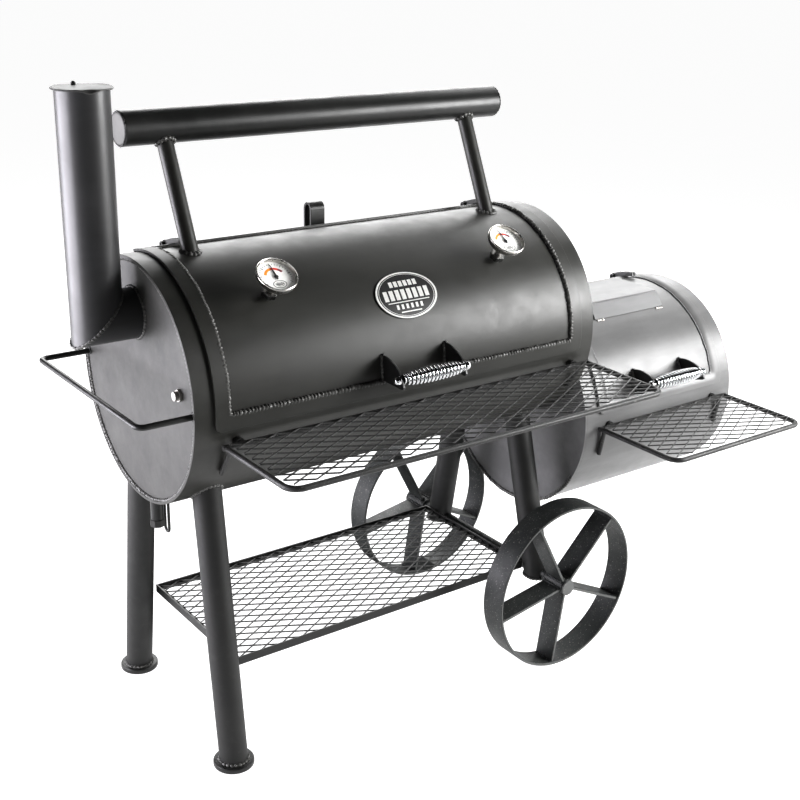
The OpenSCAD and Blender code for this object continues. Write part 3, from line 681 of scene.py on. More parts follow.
def handle(prefix, x, z, low, door_body, grip_body):
    """Two fins, a bolt with rounded nuts, and the coiled wire grip that turns on the bolt."""
    fin_low = low + STRAP_A + 0.5
    base = math.radians(180 - fin_low)
    foot = polar(0, SHELL_R, fin_low, z)
    tall = math.radians(FIN_A) * SHELL_R
    deep = HANDLE_RAD + 11 - SHELL_R
    outline = [(-6, 0), (-6, -tall - 3), (0, -tall - 3)]
    for t in range(0, 81, 8):
        outline.append((deep * math.sin(math.radians(t)), -tall * math.cos(math.radians(t))))
    outline += [(deep + 1, -5), (deep - 1, -1), (deep - 5, 0)]
    fins = Shape()
    beads = Shape()
    for side in (-1, 1):
        x_fin = x + side * FIN_GAP / 2
        turned = [
            Vector((
                x_fin - FIN_T / 2,
                foot.y + u * math.cos(base) - v * math.sin(base),
                foot.z + u * math.sin(base) + v * math.cos(base),
            ))
            for u, v in outline
        ]
        fins.plate(turned, (FIN_T, 0, 0))
        for edge in (-1, 1):
            line = [
                polar(x_fin + edge * (FIN_T / 2 + 0.6), SHELL_R + 0.4, fin_low + a, z)
                for a in range(0, FIN_A + 1, 2)
            ]
            beads.weld(line, from_axis(0, z), 6, 4, closed=False, seed=20 + side + edge)
    look(prefix + "_fins", fins, door_body, FIN_PAINT, "fin_paint", bevel=1.4)
    piece(prefix + "_fins_weld", beads, door_body, WELD_PAINT, "fin_paint")

    centre = polar(x, HANDLE_RAD, fin_low + FIN_A - 8.5, z)
    half = FIN_GAP / 2
    bolt_end = half + 11.5
    bolt = Shape().turned(bar_profile(PIN_R, 2 * bolt_end), centre - ALONG * bolt_end, ALONG, 24)
    dome = [(8.2, 6.0)]
    for t in range(0, 86, 12):
        dome.append((8.2 * math.cos(math.radians(t)), 7.2 + 6.5 * math.sin(math.radians(t))))
    nuts = Shape()
    for side in (-1, 1):
        face = centre + ALONG * side * (half + FIN_T / 2 + 0.2)
        nuts.turned([(9.6, 0), (9.6, 6.5), (8.6, 7.4)], face, ALONG * side, 6)
        nuts.turned(dome, face, ALONG * side, 28)
        inner = centre + ALONG * side * (half - FIN_T / 2 - 0.2)
        nuts.turned([(11.5, 0), (11.5, 2.2), (8.8, 2.4), (8.8, 6.0), (7.4, 7.0)], inner, -ALONG * side, 28)
    look(prefix + "_handle_rod", bolt, door_body, FRAME_PAINT, "plated_steel")
    piece(prefix + "_handle_nuts", nuts, door_body, CHROME, "plated_steel", bevel=0.8)

    reach = half - FIN_T / 2 - 7
    coils = 15
    wire = 3.0
    path = []
    per_turn = 30
    for i in range(coils * per_turn + 1):
        u = -reach + 2 * reach * i / (coils * per_turn)
        t = 2 * math.pi * i / per_turn
        radius = 8.0 + 7.2 * math.sqrt(max(0.0, 1 - (u / reach) ** 2))
        path.append(Vector((x + u, centre.y + radius * math.cos(t), centre.z + radius * math.sin(t))))
    look(prefix + "_handle_spring", Shape().rod(path, wire, 12), grip_body, CHROME, "chrome_wire")


handle("door", CHAMBER_L / 2, AXIS_Z, DOOR_LOW, "chamber_door", "chamber_door_grip")
handle("firebox", FIRE_MID, FIRE_Z, FIRE_DOOR_LOW, "firebox_door", "firebox_door_grip")


# ---------------------------------------------------------------- counterweight

counter_low, counter_high = own_box("counterweight_tube")
COUNTER_Y = (counter_low.y + counter_high.y) / 2
COUNTER_Z = (counter_low.z + counter_high.z) / 2
COUNTER_R = (counter_high.z - counter_low.z) / 2
POST_R = 16.7
POST_A = 84.3
posts_low, posts_high = own_box("counterweight_posts")
POST_X = (posts_low.x + POST_R, posts_high.x - POST_R)


def counterweight():
    """Capped pipe on two posts that are coped to the door and to the pipe."""
    length = counter_high.x - counter_low.x
    start = Vector((counter_low.x, COUNTER_Y, COUNTER_Z))
    pipe = Shape().turned(
        [(COUNTER_R - 2.4, 2), (COUNTER_R, 4), (COUNTER_R, length - 4), (COUNTER_R - 2.4, length - 2)],
        start, ALONG, 72,
    )
    caps = Shape()
    rings = Shape()
    cap_r = COUNTER_R - 4.4
    for index, (end, facing) in enumerate(((start, -1), (start + ALONG * length, 1))):
        caps.turned([(cap_r, -3), (cap_r, -0.6), (COUNTER_R - 5, 0)], end, ALONG * facing, 64)
        ring = [end + Vector((-facing * 1.6, u, v)) for u, v in circle(COUNTER_R - 2.6, 64)]
        rings.weld(ring, always(ALONG * facing), 4.6, 2.0, seed=35 + index)
    piece("counterweight_caps", caps, "chamber_door", CAP_PAINT, "black_paint")
    piece("counterweight_cap_welds", rings, "chamber_door", FRAME_PAINT, "black_paint")
    look("counterweight_tube", pipe, "chamber_door", FRAME_PAINT, "black_paint")
    posts = Shape()
    beads = Shape()
    for index, x in enumerate(POST_X):
        foot = polar(x, SHELL_R - 12, POST_A, AXIS_Z)
        top = Vector((x, COUNTER_Y, COUNTER_Z))
        ends = posts.coped(
            foot, top, POST_R,
            barrel_cut(0, AXIS_Z, SHELL_R - 1, near=False),
            barrel_cut(COUNTER_Y, COUNTER_Z, COUNTER_R - 1, near=True),
        )
        for end, outward in zip(ends, (from_axis(0, AXIS_Z), from_axis(COUNTER_Y, COUNTER_Z))):
            beads.weld(end, outward, 12, 6, seed=30 + index)
    look("counterweight_posts", posts, "chamber_door", PIT_PAINT, "black_paint")
    piece("counterweight_welds", beads, "chamber_door", WELD_PAINT, "black_paint")


counterweight()


# ---------------------------------------------------------------- smoke stack

pipe_low, pipe_high = own_box("stack_pipe")
STACK_X = (pipe_low.x + pipe_high.x) / 2
STACK_R = (pipe_high.x - pipe_low.x) / 2
STACK_TOP = pipe_high.z
STUB_Z = own_box("stack_stub")[1].z - STACK_R
STACK_WALL = 5


def stack():
    """Stub and pipe that meet at a 45 degree weld, with a lid that swings on a bolt."""
    segments = 72
    outer, inner = circle(STACK_R, segments), circle(STACK_R - STACK_WALL, segments)

    def at_plate(ring):
        return [Vector((PLATE_INSET + 0.5, u, STUB_Z + v)) for u, v in ring]

    def at_mitre(ring):
        return [Vector((STACK_X + v, u, STUB_Z + v)) for u, v in ring]

    def at_top(ring):
        return [Vector((STACK_X + v, u, STACK_TOP)) for u, v in ring]

    for node, start, end, bevel in (
        ("stack_stub", at_plate, at_mitre, 0.0),
        ("stack_pipe", at_mitre, at_top, 0.8),
    ):
        rows = [start(outer), end(outer), end(inner), start(inner)]
        pipe = Shape().grid(rows, close_rows=True, close_columns=True)
        look(node, pipe, "pit", STACK_PAINT, "black_paint", bevel=bevel)
    middle = Vector((STACK_X, 0, STUB_Z))
    beads = Shape().weld(at_mitre(outer), lambda p: (p - middle).normalized(), 7, 2.6, seed=41)
    root = [Vector((PLATE_INSET, u, STUB_Z + v)) for u, v in circle(STACK_R + 1, segments)]
    off_stub = from_axis(0, STUB_Z)
    beads.weld(root, lambda p: (off_stub(p) - ALONG).normalized(), 8, 3.6, seed=42)
    piece("stack_welds", beads, "pit", WELD_PAINT, "black_paint")

    lid_low, lid_high = own_box("stack_lid")
    lid_r = (lid_high.x - lid_low.x) / 2
    thick = lid_high.z - lid_low.z
    draw = random.Random(43)
    waver = [draw.uniform(-0.25, 0.25) for _ in range(segments)]

    def bend(turn):
        """How far the thin lid's edge rises or dips at a turn from +X; it dips most towards the front."""
        return 0.7 * math.sin(math.radians(3 * turn + 40)) - 6.2 * math.exp(-((turn - 262) / 13) ** 2)

    rows = []
    for inset, level, share in (
        (8, 0, 0), (3, 0.2, 0.6), (0.6, 0, 1), (0, 0.8, 1),
        (0.4, thick - 0.6, 1), (1.4, thick, 1), (4, thick, 0.5), (8, thick, 0),
    ):
        rows.append([
            Vector((STACK_X + u, v, lid_low.z + level + (bend(360 * k / segments) + waver[k]) * share))
            for k, (u, v) in enumerate(circle(lid_r - inset, segments))
        ])
    lid = Shape().grid(rows, close_columns=True, caps=True)
    look("stack_lid", lid, "stack_cover", LID_PAINT, "black_paint")


stack()


def pivot_bolts():
    """Small bolts with nuts that the stack lid and the air damper turn on."""
    lid_top = own_box("stack_lid")[1].z
    pivot = Vector((STACK_X, STACK_R - STACK_WALL - 7, 0))
    shape = Shape()
    shape.turned([(6.6, 0), (7, 0.6), (7, 24)], pivot + UP * (STACK_TOP - 26), UP, 24)
    shape.turned([(3.2, 0), (3.2, 29), (2.4, 30)], pivot + UP * (STACK_TOP - 20), UP, 16)
    shape.turned([(4.2, 0), (4.5, 0.5), (4.5, 3.6), (4.0, 4.2)], pivot + UP * (lid_top + 0.2), UP, 6)
    damper_r = 72
    plate = Vector((END_X - PLATE_INSET, 0, own_box("air_damper")[0].z + damper_r))
    shape.turned([(4, 0), (PIN_R - 0.1, 1), (PIN_R - 0.1, 19), (4, 20)], plate - ALONG * 14, ALONG, 20)
    shape.turned([(8.6, 0), (9, 0.5), (9, 4.2), (8.2, 5)], plate + ALONG * 3.7, ALONG, 6)
    look("pivot_bolts", shape, "pit", FRAME_PAINT, "fittings")


pivot_bolts()


# ---------------------------------------------------------------- hinges

HINGE_A = 112
HINGE_R = 9
KNUCKLE_L = 15
arms_low, arms_high = own_box("door_hinge_knuckles")
fire_arms_low, fire_arms_high = own_box("firebox_door_knuckles")


def arm(shape, x, z, start, end, radius):
    """Ribbed bar bent along the barrel, from one angle to another, that a hinge knuckle is welded to."""
    for rib, (side, lift) in enumerate(((0.0, 0.0), (5.2, 1.6), (10.4, 0.0))):
        angles = spaced(start + rib % 2, end, 3)
        shape.rolled([x + side, x + side + 4.6], angles, z, radius, radius + 9.5 + lift)


def hinge_pair(z, starts, door_body, paint, prefix, slot):
    """Two hinges of one door: the door's ribbed arms, and the fixed knuckles with their pins."""
    fixed, moving = Shape(), Shape()
    for x in starts:
        centre = polar(x, SHELL_R + HINGE_R + 0.5, HINGE_A, z)
        tube = bar_profile(HINGE_R, KNUCKLE_L)
        moving.turned(tube, centre, ALONG, 28)
        arm(moving, x, z, 96.5, HINGE_A, SHELL_R + STRAP_T + 0.2)
        fixed.turned(tube, centre + ALONG * (KNUCKLE_L + 1), ALONG, 28)
        arm(fixed, x + KNUCKLE_L + 1, z, HINGE_A, HINGE_A + 7, SHELL_R)
        pin_end = centre - ALONG * 7
        fixed.turned([(4, 0), (5, 1), (5, 6), (5, 43), (4, 44)], pin_end, ALONG, 20)
        fixed.turned(bar_profile(7, 6), pin_end, ALONG, 24)
    look(prefix + "_knuckles", moving, door_body, paint, slot, bevel=0.6)
    return fixed


main_fixed = hinge_pair(
    AXIS_Z, (arms_low.x, arms_high.x - KNUCKLE_L), "chamber_door", FRAME_PAINT, "door_hinge", "black_paint",
)
look("hinge_knuckles", main_fixed, "pit", FRAME_PAINT, "black_paint", bevel=0.6)
# The firebox's hinges are in the light apron paint: painted glare that washes them out with the rest of that
# end.
fire_fixed = hinge_pair(
    FIRE_Z, (fire_arms_low.x, fire_arms_high.x - KNUCKLE_L), "firebox_door", APRON_PAINT_AND_GLARE, "firebox_door",
    "firebox_paint",
)
piece("firebox_fixed_knuckles", fire_fixed, "pit", APRON_PAINT_AND_GLARE, "firebox_paint", bevel=0.6)


# ---------------------------------------------------------------- small steel on the barrel

def u_bend(ends, turn, first, second):
    """Corners (level, side) of a U: from the ends' level out to the turn and back, between two sides."""
    return [(ends, first), (turn, first), (turn, second), (ends, second)]


def rods_and_fittings():
    """Side handle, drain pipe, bucket hook and door stop."""
    low, high = own_box("side_handle")
    z = (low.z + high.z) / 2
    reach = low.x + ROD_R
    half = high.y - ROD_R
    corners = [Vector((x, y, z)) for x, y in u_bend(PLATE_INSET, reach, -half, half)]
    shape = Shape().rod(rounded_path(corners, 16, steps=8), ROD_R, 18)
    for side in (-1, 1):
        ring = [Vector((PLATE_INSET, side * half + u, z + v)) for u, v in circle(ROD_R + 1, 20)]
        shape.weld(ring, always(-ALONG), 5, 3, seed=50 + side)
    look("side_handle", shape, "pit", FRAME_PAINT, "shelf_paint")

    low, high = own_box("drain_pipe")
    x = (low.x + high.x) / 2
    radius = (high.x - low.x) / 2
    shape = Shape()
    _, top = shape.coped(
        Vector((x, 0, low.z)), Vector((x, 0, high.z)), radius,
        flat_cut(low.z), barrel_cut(0, AXIS_Z, SHELL_R - 0.5, near=True), wall=3.4,
    )
    collar_r = radius + 2.4
    shape.turned([(radius, 0), (collar_r, 0.8), (collar_r, 16), (radius, 17)], (x, 0, low.z), UP, 8)
    shape.weld(top, always(-UP), 6, 3, seed=53)
    look("drain_pipe", shape, "pit", FRAME_PAINT, "black_paint")

    low, high = own_box("bucket_hook")
    x = (low.x + high.x) / 2
    wire_r = 3
    bend = (high.y - low.y) / 2 - wire_r
    ends = u_bend(AXIS_Z - SHELL_R + wire_r, low.z + wire_r, -bend, bend)
    path = rounded_path([Vector((x, y, z)) for z, y in ends], bend - 0.01, steps=8)
    look("bucket_hook", Shape().rod(path, wire_r, 12), "pit", FRAME_PAINT, "black_paint")

    low, high = own_box("door_stop")
    t = 5
    y0, y1 = low.y + t / 2, high.y - t / 2
    middle = (low.x + high.x) / 2
    corners = [Vector((middle, y, z)) for z, y in u_bend(low.z, high.z + 5, y0, y1)]
    path = rounded_path(corners, (y1 - y0) / 2 - 0.01, steps=8)
    half = (high.x - low.x) / 2
    section = [(-t / 2, -half), (t / 2, -half), (t / 2, half), (-t / 2, half)]
    shape = Shape().sweep(path, section, up=lambda i: ALONG)
    look("door_stop", shape, "pit", FRAME_PAINT, "black_paint", bevel=0.8)


rods_and_fittings()
for node, material, bevel in (
    ("shelf_sockets", FRAME_PAINT, 0.5),
    ("end_plug", STEEL, 0.6),
    ("air_damper", FIRE_PAINT_AND_GLARE, 0.6),
    ("heat_baffle", GRATE_STEEL, 0.6),
    ("grate_rails", GRATE_STEEL, 0.6),
    ("cooking_grate_left", GRATE_STEEL, 1.2),
    ("cooking_grate_right", GRATE_STEEL, 1.2),
    ("fire_grate", GRATE_STEEL, 1.4),
):
    carried(node, material, bevel)


# ---------------------------------------------------------------- thermometers

THERMO_A = 46.5
THERMO_TILT = math.radians(55.5)
THERMO_OUT = Vector((0, -math.cos(THERMO_TILT), math.sin(THERMO_TILT)))
THERMO_UP = Vector((0, math.sin(THERMO_TILT), math.cos(THERMO_TILT)))
DIAL_R = 39.5
CASE_LEVEL = 58
FACE_LEVEL = 56.6
PRINT_LEVEL = 58.1
HAND_LEVEL = 59
GLASS_LEVEL = 63.4


def thermometer(side, x, needle_body):
    """Dial thermometer on a stem: case with a bright rim, printed face, needle and glass."""
    base = polar(x, SHELL_R, THERMO_A, AXIS_Z)

    def out(distance):
        return base + THERMO_OUT * distance

    def on_face(radius, turn, level):
        """A point on the face; turn is in degrees clockwise from the top."""
        t = math.radians(turn)
        return out(level) + ALONG * radius * math.sin(t) + THERMO_UP * radius * math.cos(t)

    stem = Shape()
    stem.turned([(4, 0), (4, 52)], out(-60), THERMO_OUT, 20)
    stem.turned([(7.4, 0), (7.4, 32), (12, 34), (12, 36)], out(18), THERMO_OUT, 32)
    piece("thermometer_stem_" + side, stem, "chamber_door", STEEL, "plated_steel")
    nut = Shape().turned([(15.5, 0), (17, 1.2), (17, 12), (15.5, 13.2)], out(7), THERMO_OUT, 6)
    nut.turned([(11.5, 0), (11.5, 3)], out(5.2), THERMO_OUT, 6)
    piece("thermometer_nut_" + side, nut, "chamber_door", DARK_STEEL, "plated_steel", bevel=0.8)
    back = [(10, -9), (26, -8.2), (38, -6), (40.4, -2), (40.7, 3.2)]
    rim = [(41.7, 4.4), (42.2, 6.6), (41.6, 8.6), (40.2, 9.4), (39.0, 8.4), (38.6, 6.4)]
    inside = [(38.6, -1.6), (10, -1.8)]
    case = Shape().turned(back + rim + inside, out(CASE_LEVEL), THERMO_OUT, 72, ring=True)
    look("thermometer_" + side, case, "chamber_door", PLATED, "dial_case", angle=50)
    face_section = [(38.7, 0), (38.7, 1.4), (2.2, 1.5), (2.2, 0)]
    face = Shape().turned(face_section, out(FACE_LEVEL), THERMO_OUT, 64, ring=True)
    look("dial_" + side, face, "chamber_door", DIAL_WHITE, "dial_face")

    inner, outer, level = 18.5, 23.5, PRINT_LEVEL + 0.2
    for label, start, end, ink in (
        ("orange", -68, -6, DIAL_ORANGE), ("red", -6, 34, DIAL_RED), ("dark", 34, 60, DIAL_DARK_RED),
    ):
        edges = ((inner, level - 0.4), (inner, level), (outer, level), (outer, level - 0.4))
        turns = spaced(start, end, 4)
        arc = Shape().grid([[on_face(r, t, h) for t in turns] for r, h in edges], close_rows=True)
        piece(f"dial_{label}_arc_{side}", arc, "chamber_door", ink, "dial_face")
    marks = Shape()
    for step in range(25):
        turn = -120 + step * 10
        long = step % 4 == 0
        wide = 0.55 if long else 0.3
        a, b = (on_face(radius, turn, PRINT_LEVEL) for radius in (28.5 if long else 30.5, 34.0))
        across = (b - a).cross(THERMO_OUT).normalized() * wide
        marks.plate([a - across, b - across, b + across, a + across], THERMO_OUT * 0.4)
    patch = out(PRINT_LEVEL) + THERMO_UP * -18.5
    for size, thick in ((1.0, 1.1), (0.62, 0.8)):
        ring = [patch + ALONG * u * 14 + THERMO_UP * v * 9.0 for u, v in circle(size, 28)]
        marks.sweep(ring, circle(thick * 0.5, 5), closed=True)
    for level in (-2.4, 0.0, 2.4):
        low_edge = patch + THERMO_UP * (level - 0.6)
        wide = ALONG * (7.6 - abs(level))
        rise = THERMO_UP * 1.2
        bar = [low_edge - wide, low_edge + wide, low_edge + wide + rise, low_edge - wide + rise]
        marks.plate(bar, THERMO_OUT * 0.4)
    piece("dial_marks_" + side, marks, "chamber_door", DIAL_INK, "dial_face")

    hand = Shape().turned([(4.4, 0), (4.4, 1.2), (2.4, 2.2)], out(HAND_LEVEL), THERMO_OUT, 28)
    hand.turned([(1.9, -2.2), (1.9, 0.4)], out(HAND_LEVEL), THERMO_OUT, 16)
    tip = DIAL_R * 0.74
    right = [(-7, 1.5), (0, 1.8), (tip - 6, 0.9), (tip, 0.2)]
    outline = [(-7, -1.5), *right, *((v, -u) for v, u in reversed(right[1:]))]
    middle = out(HAND_LEVEL + 0.4)
    hand.plate([middle + THERMO_UP * v + ALONG * u for v, u in outline], THERMO_OUT * 0.8)
    look("needle_" + side, hand, needle_body, DIAL_INK, "needle")
    dome = [(38.4, 0), (38.4, 0.8), (20, 1.5), (0.5, 1.8)]
    pane = Shape().turned(dome, out(GLASS_LEVEL), THERMO_OUT, 48)
    glass = piece("dial_glass_" + side, pane, "chamber_door", GLASS, "dial_face")
    glass.visible_shadow = False


thermometer("left", CHAMBER_L / 2 - 302, "left_needle")
thermometer("right", CHAMBER_L / 2 + 270, "right_needle")


# ---------------------------------------------------------------- badge

def badge():
    """Plain oval plate with a white border and plain white bars, bent to the door."""
    centre_x = CHAMBER_L / 2 + 10
    angle = 36.5
    scale = SHELL_R * math.pi / 180
    half_w, half_h = 78, 52

    def bent(u, v, radius):
        return polar(centre_x + u, radius, angle + v / scale, AXIS_Z)

    def oval(share, radius):
        return [bent(u * half_w * share, v * half_h * share, radius) for u, v in circle(1, 72)]

    r = SHELL_R
    rows = [oval(1.0, r + 0.4), oval(1.0, r + 1.9), oval(0.985, r + 2.4)]
    rows += [oval(s, r + 2.4) for s in (0.8, 0.6, 0.4, 0.2, 0.02)]
    look("badge", Shape().grid(rows, close_columns=True, caps=True), "chamber_door", BADGE_BLACK, "badge")
    trim = Shape()
    for outer, inner in ((0.975, 0.915), (0.882, 0.866)):
        trim.grid(
            [oval(outer, r + 2.3), oval(outer, r + 2.8), oval(inner, r + 2.8), oval(inner, r + 2.3)],
            close_rows=True, close_columns=True,
        )

    def strip(u0, u1, v0, v1):
        us, vs = spaced(u0, u1, 8), spaced(v0, v1, 4)
        low = [bent(u, v0, r + 2.3) for u in us]
        tops = [[bent(u, v, r + 2.8) for u in us] for v in vs]
        trim.grid([low, *tops, [bent(u, v1, r + 2.3) for u in us]], close_rows=True)

    for column in range(8):
        u = -57.5 + column * 14.6
        strip(u, u + 10.2, -10, 12)
    for column in range(6):
        u = -35.4 + column * 12.0
        strip(u, u + 8.8, 18.5, 31)
        strip(u + 1.2, u + 7.2, -30, -20)
    strip(-52, 52, -16, -14)
    strip(-26, 26, -37.5, -35)
    piece("badge_print", trim, "chamber_door", BADGE_WHITE, "badge")


badge()


# ---------------------------------------------------------------- stand

LEG_R = 30.2
LEFT_LEG_X = 73
FOOT_Y = 230
FOOT_T = 12
axle_low, axle_high = own_box("axle")
AXLE_X = (axle_low.x + axle_high.x) / 2
front_low, front_high = own_box("wheel_front")
back_low = own_box("wheel_back")[0]
WHEEL_R = (front_high.z - front_low.z) / 2
RIM_W = front_high.y - front_low.y
AXLE_Z = WHEEL_R
AXLE_R = 12.7
HUB_R = 18.5


def leg(name, x, y_foot, z_foot, y_top):
    """Leg pipe coped to the barrel, with its welds."""
    top = AXIS_Z - math.sqrt(SHELL_R ** 2 - y_top ** 2)
    shape = Shape()
    low_ring, high_ring = shape.coped(
        Vector((x, y_foot, z_foot)), Vector((x, y_top, top)), LEG_R,
        flat_cut(z_foot), barrel_cut(0, AXIS_Z, SHELL_R - 0.5, near=True), segments=56,
    )
    look(name, shape, "pit", LEG_PAINT, "black_paint", bevel=0.5)
    beads = Shape().weld(high_ring, always(-UP), 8, 4, seed=len(name))
    if z_foot == FOOT_T:
        beads.weld(low_ring, always(UP), 8, 4, seed=len(name) + 1)
    else:
        beads.weld(low_ring, always(-UP), 7, 3.5, seed=len(name) + 2)
    piece(name + "_weld", beads, "pit", WELD_PAINT, "black_paint")


leg("leg_front_left", LEFT_LEG_X, -FOOT_Y, FOOT_T, -150)
leg("leg_back_left", LEFT_LEG_X, FOOT_Y, FOOT_T, 150)
leg("leg_front_right", AXLE_X, -220, WHEEL_R - 10, -116)
leg("leg_back_right", AXLE_X, 168, WHEEL_R - 10, 104)

feet = Shape()
for side in (-1, 1):
    feet.turned(
        [(40, 0), (42.4, 0.8), (43, 2.4), (43, 9.4), (42, 11.3), (40, 12), (31, 12)],
        (LEFT_LEG_X, side * FOOT_Y, 0), UP, 64,
    )
look("foot_flanges", feet, "pit", FRAME_PAINT, "black_paint")


def axle():
    """Solid bar with a collar inside each wheel and a plain end disc outside it."""
    length = axle_high.y - axle_low.y
    shape = Shape().turned(
        [(AXLE_R - 1, 1), (AXLE_R, 2), (AXLE_R, length - 2), (AXLE_R - 1, length - 1)],
        (AXLE_X, axle_low.y, AXLE_Z), BACK, 32,
    )
    collar = [(HUB_R - 1, 0.3), (HUB_R, 1.2), (HUB_R, 5), (HUB_R - 1, 5.8)]
    shape.turned(collar, (AXLE_X, front_high.y, AXLE_Z), BACK, 36)
    shape.turned(collar, (AXLE_X, back_low.y, AXLE_Z), -BACK, 36)
    look("axle", shape, "pit", WHEEL_PAINT, "wheel_paint")
    discs = Shape()
    disc = [(HUB_R - 0.6, 0), (HUB_R, 0.6), (HUB_R, 3.2), (HUB_R - 0.8, 4)]
    for end, facing in ((axle_low.y + 4, -1), (axle_high.y - 4, 1)):
        discs.turned(disc, (AXLE_X, end, AXLE_Z), BACK * facing, 40)
    piece("axle_end_discs", discs, "pit", DISC_PAINT, "wheel_paint")


axle()


def wheel(node, body, seed):
    """Flat-bar rim and spokes welded to a pipe hub."""
    low, high = own_box(node)
    side = Vector((AXLE_X, low.y, AXLE_Z))
    centre = Vector((AXLE_X, (low.y + high.y) / 2, AXLE_Z))
    rim_in = WHEEL_R - 6
    edge = 0.9
    near_rim = [(rim_in, edge), (rim_in + edge, 0), (WHEEL_R - edge, 0), (WHEEL_R, edge)]
    bore = 12.9
    near_hub = [(bore, 0.9), (bore + 0.6, 0.4), (HUB_R - 0.8, 0.4), (HUB_R, 1.2)]
    shape = Shape()
    for near_side, segments in ((near_rim, 112), (near_hub, 48)):
        far_side = [(radius, RIM_W - across) for radius, across in reversed(near_side)]
        shape.turned(near_side + far_side, side, BACK, segments, ring=True)
    look(node, shape, body, WHEEL_PAINT, "wheel_paint")
    edges = Shape()
    worn = 1.2
    inner, outer = rim_in + worn, WHEEL_R - worn
    worn_section = [(inner, -0.2), (outer, -0.2), (outer, 0.6), (inner, 0.6)]
    for shift in (0, RIM_W - 0.4):
        edges.turned(worn_section, side + BACK * shift, BACK, 112, ring=True)
    spokes = Shape()
    beads = Shape()
    for i in range(5):
        t = math.radians(46 + i * 72)
        out = Vector((math.cos(t), 0, math.sin(t)))
        across = Vector((-out.z, 0, out.x)) * 3.5
        wide = BACK * ((RIM_W - 8) / 2)
        at_hub, at_rim = centre + out * (HUB_R - 1.5), centre + out * (rim_in + 0.6)

        def spoke(half, shift):
            return [p + shift for p in (at_hub - half, at_rim - half, at_rim + half, at_hub + half)]

        spokes.plate(spoke(across, -wide), wide * 2)
        for face in (-wide, wide):
            edges.plate(spoke(across * 0.7, face - BACK * 0.3), BACK * 0.6)
        for reach in (HUB_R + 0.6, rim_in - 0.6):
            for sign in (-1, 1):
                spot = centre + out * reach + across * sign * 1.15
                line = [spot - wide * 0.94, spot + wide * 0.94]
                lean = (across.normalized() * sign + out * (1 if reach < 40 else -1)).normalized()
                beads.weld(line, always(lean), 6, 3.4, closed=False, seed=seed + i + sign)
    piece(node + "_spokes", spokes, body, WHEEL_PAINT, "wheel_paint", bevel=0.9)
    piece(node + "_welds", beads, body, WHEEL_PAINT, "wheel_paint")
    piece(node + "_worn_edges", edges, body, EDGE_PAINT, "wheel_paint")


wheel("wheel_front", "front_wheel", 60)
wheel("wheel_back", "back_wheel", 80)


# ---------------------------------------------------------------- shelves

STRAND_W = 2.3
STRAND_T = 3.0


def clipped(path, x0, x1):
    """The part of a path, which runs towards +X, between two X values."""
    result = []
    for a, b in zip(path, path[1:]):
        if b.x <= x0 or a.x >= x1:
            continue
        start = a.lerp(b, max(0.0, (x0 - a.x) / (b.x - a.x)))
        end = a.lerp(b, min(1.0, (x1 - a.x) / (b.x - a.x)))
        result += [end] if result else [start, end]
    return result


def expanded_metal(node, body, inset, corner=0.0):
    """Slit and stretched sheet: leaning strands in zigzag rows that touch at short bonds.

    The sheet ends inset from the CAD's edges, and its front corners are rounded like the frame under it.
    """
    low, high = own_box(node)
    low += Vector((inset, inset, 0))
    high -= Vector((inset, inset, 0))
    columns = round((high.x - low.x) / LONG_PITCH) * 2
    rows = round((high.y - low.y) / SHORT_PITCH) * 2
    dx = (high.x - low.x) / columns
    dy = (high.y - low.y) / rows
    bond = 1.6
    level = low.z + STRAND_T / 2 + 0.05
    lean = math.radians(24)
    half_w, half_t = STRAND_W / 2, STRAND_T / 2
    section = []
    for u, v in ((-half_w, -half_t), (half_w, -half_t), (half_w, half_t), (-half_w, half_t)):
        section.append((u * math.cos(lean) + v * math.sin(lean) * 0.6, v))
    shape = Shape()
    for row in range(rows):
        middle = low.y + (row + 0.5) * dy
        path = []
        for k in range(columns + 1):
            sign = 1 if (k + row) % 2 else -1
            y = middle + sign * (dy / 2 - half_w)
            x = low.x + k * dx
            path.append(Vector((x - bond, y, level)))
            path.append(Vector((x + bond, y, level)))
        depth = max(0.0, corner - (middle - low.y))
        cut = corner - math.sqrt(max(0.0, corner ** 2 - depth ** 2))
        shape.sweep(clipped(path, low.x + cut, high.x - cut), section)
    look(node, shape, body, SHELF_PAINT, "shelf_paint", angle=25, weld_points=False)


def shelf(prefix, body, z_shell):
    """Rod frame with rounded front corners, pegs, props and an expanded metal top."""
    node = prefix + "_frame"
    low, high = own_box(node)
    x0, x1 = low.x + ROD_R, high.x - ROD_R
    front = low.y + ROD_R
    back = -SHELL_R - 12
    z = high.z - ROD_R
    corners = [Vector((x, y, z)) for y, x in u_bend(back, front, x0, x1)]
    shape = Shape().rod(rounded_path(corners, 28, steps=10), ROD_R, 16)
    shape.turned(bar_profile(ROD_R, high.x - low.x), (low.x, back, z), ALONG, 16)
    prop_r = ROD_R - 0.6
    drop = 72
    y_prop = -math.sqrt((SHELL_R + prop_r + 1) ** 2 - (z_shell - z + drop) ** 2)
    for side, x in ((1, x0), (-1, x1)):
        end_y = -math.sqrt((SHELL_R + 0.5) ** 2 - (z_shell - z) ** 2)
        shape.turned([(ROD_R, 0), (ROD_R, end_y - back)], (x + side * 36, back, z), BACK, 16)
        start, end = Vector((x + side * 14, back, z)), Vector((x + side * 14, y_prop, z - drop))
        shape.turned([(prop_r, 0), (prop_r, (end - start).length)], start, end - start, 16)
    look(node, shape, body, SHELF_PAINT, "shelf_paint")
    expanded_metal(prefix + "_mesh", body, 2.0, 24.0)


shelf("main_shelf", "chamber_shelf", AXIS_Z)
shelf("firebox_shelf", "firebox_side_shelf", FIRE_Z)


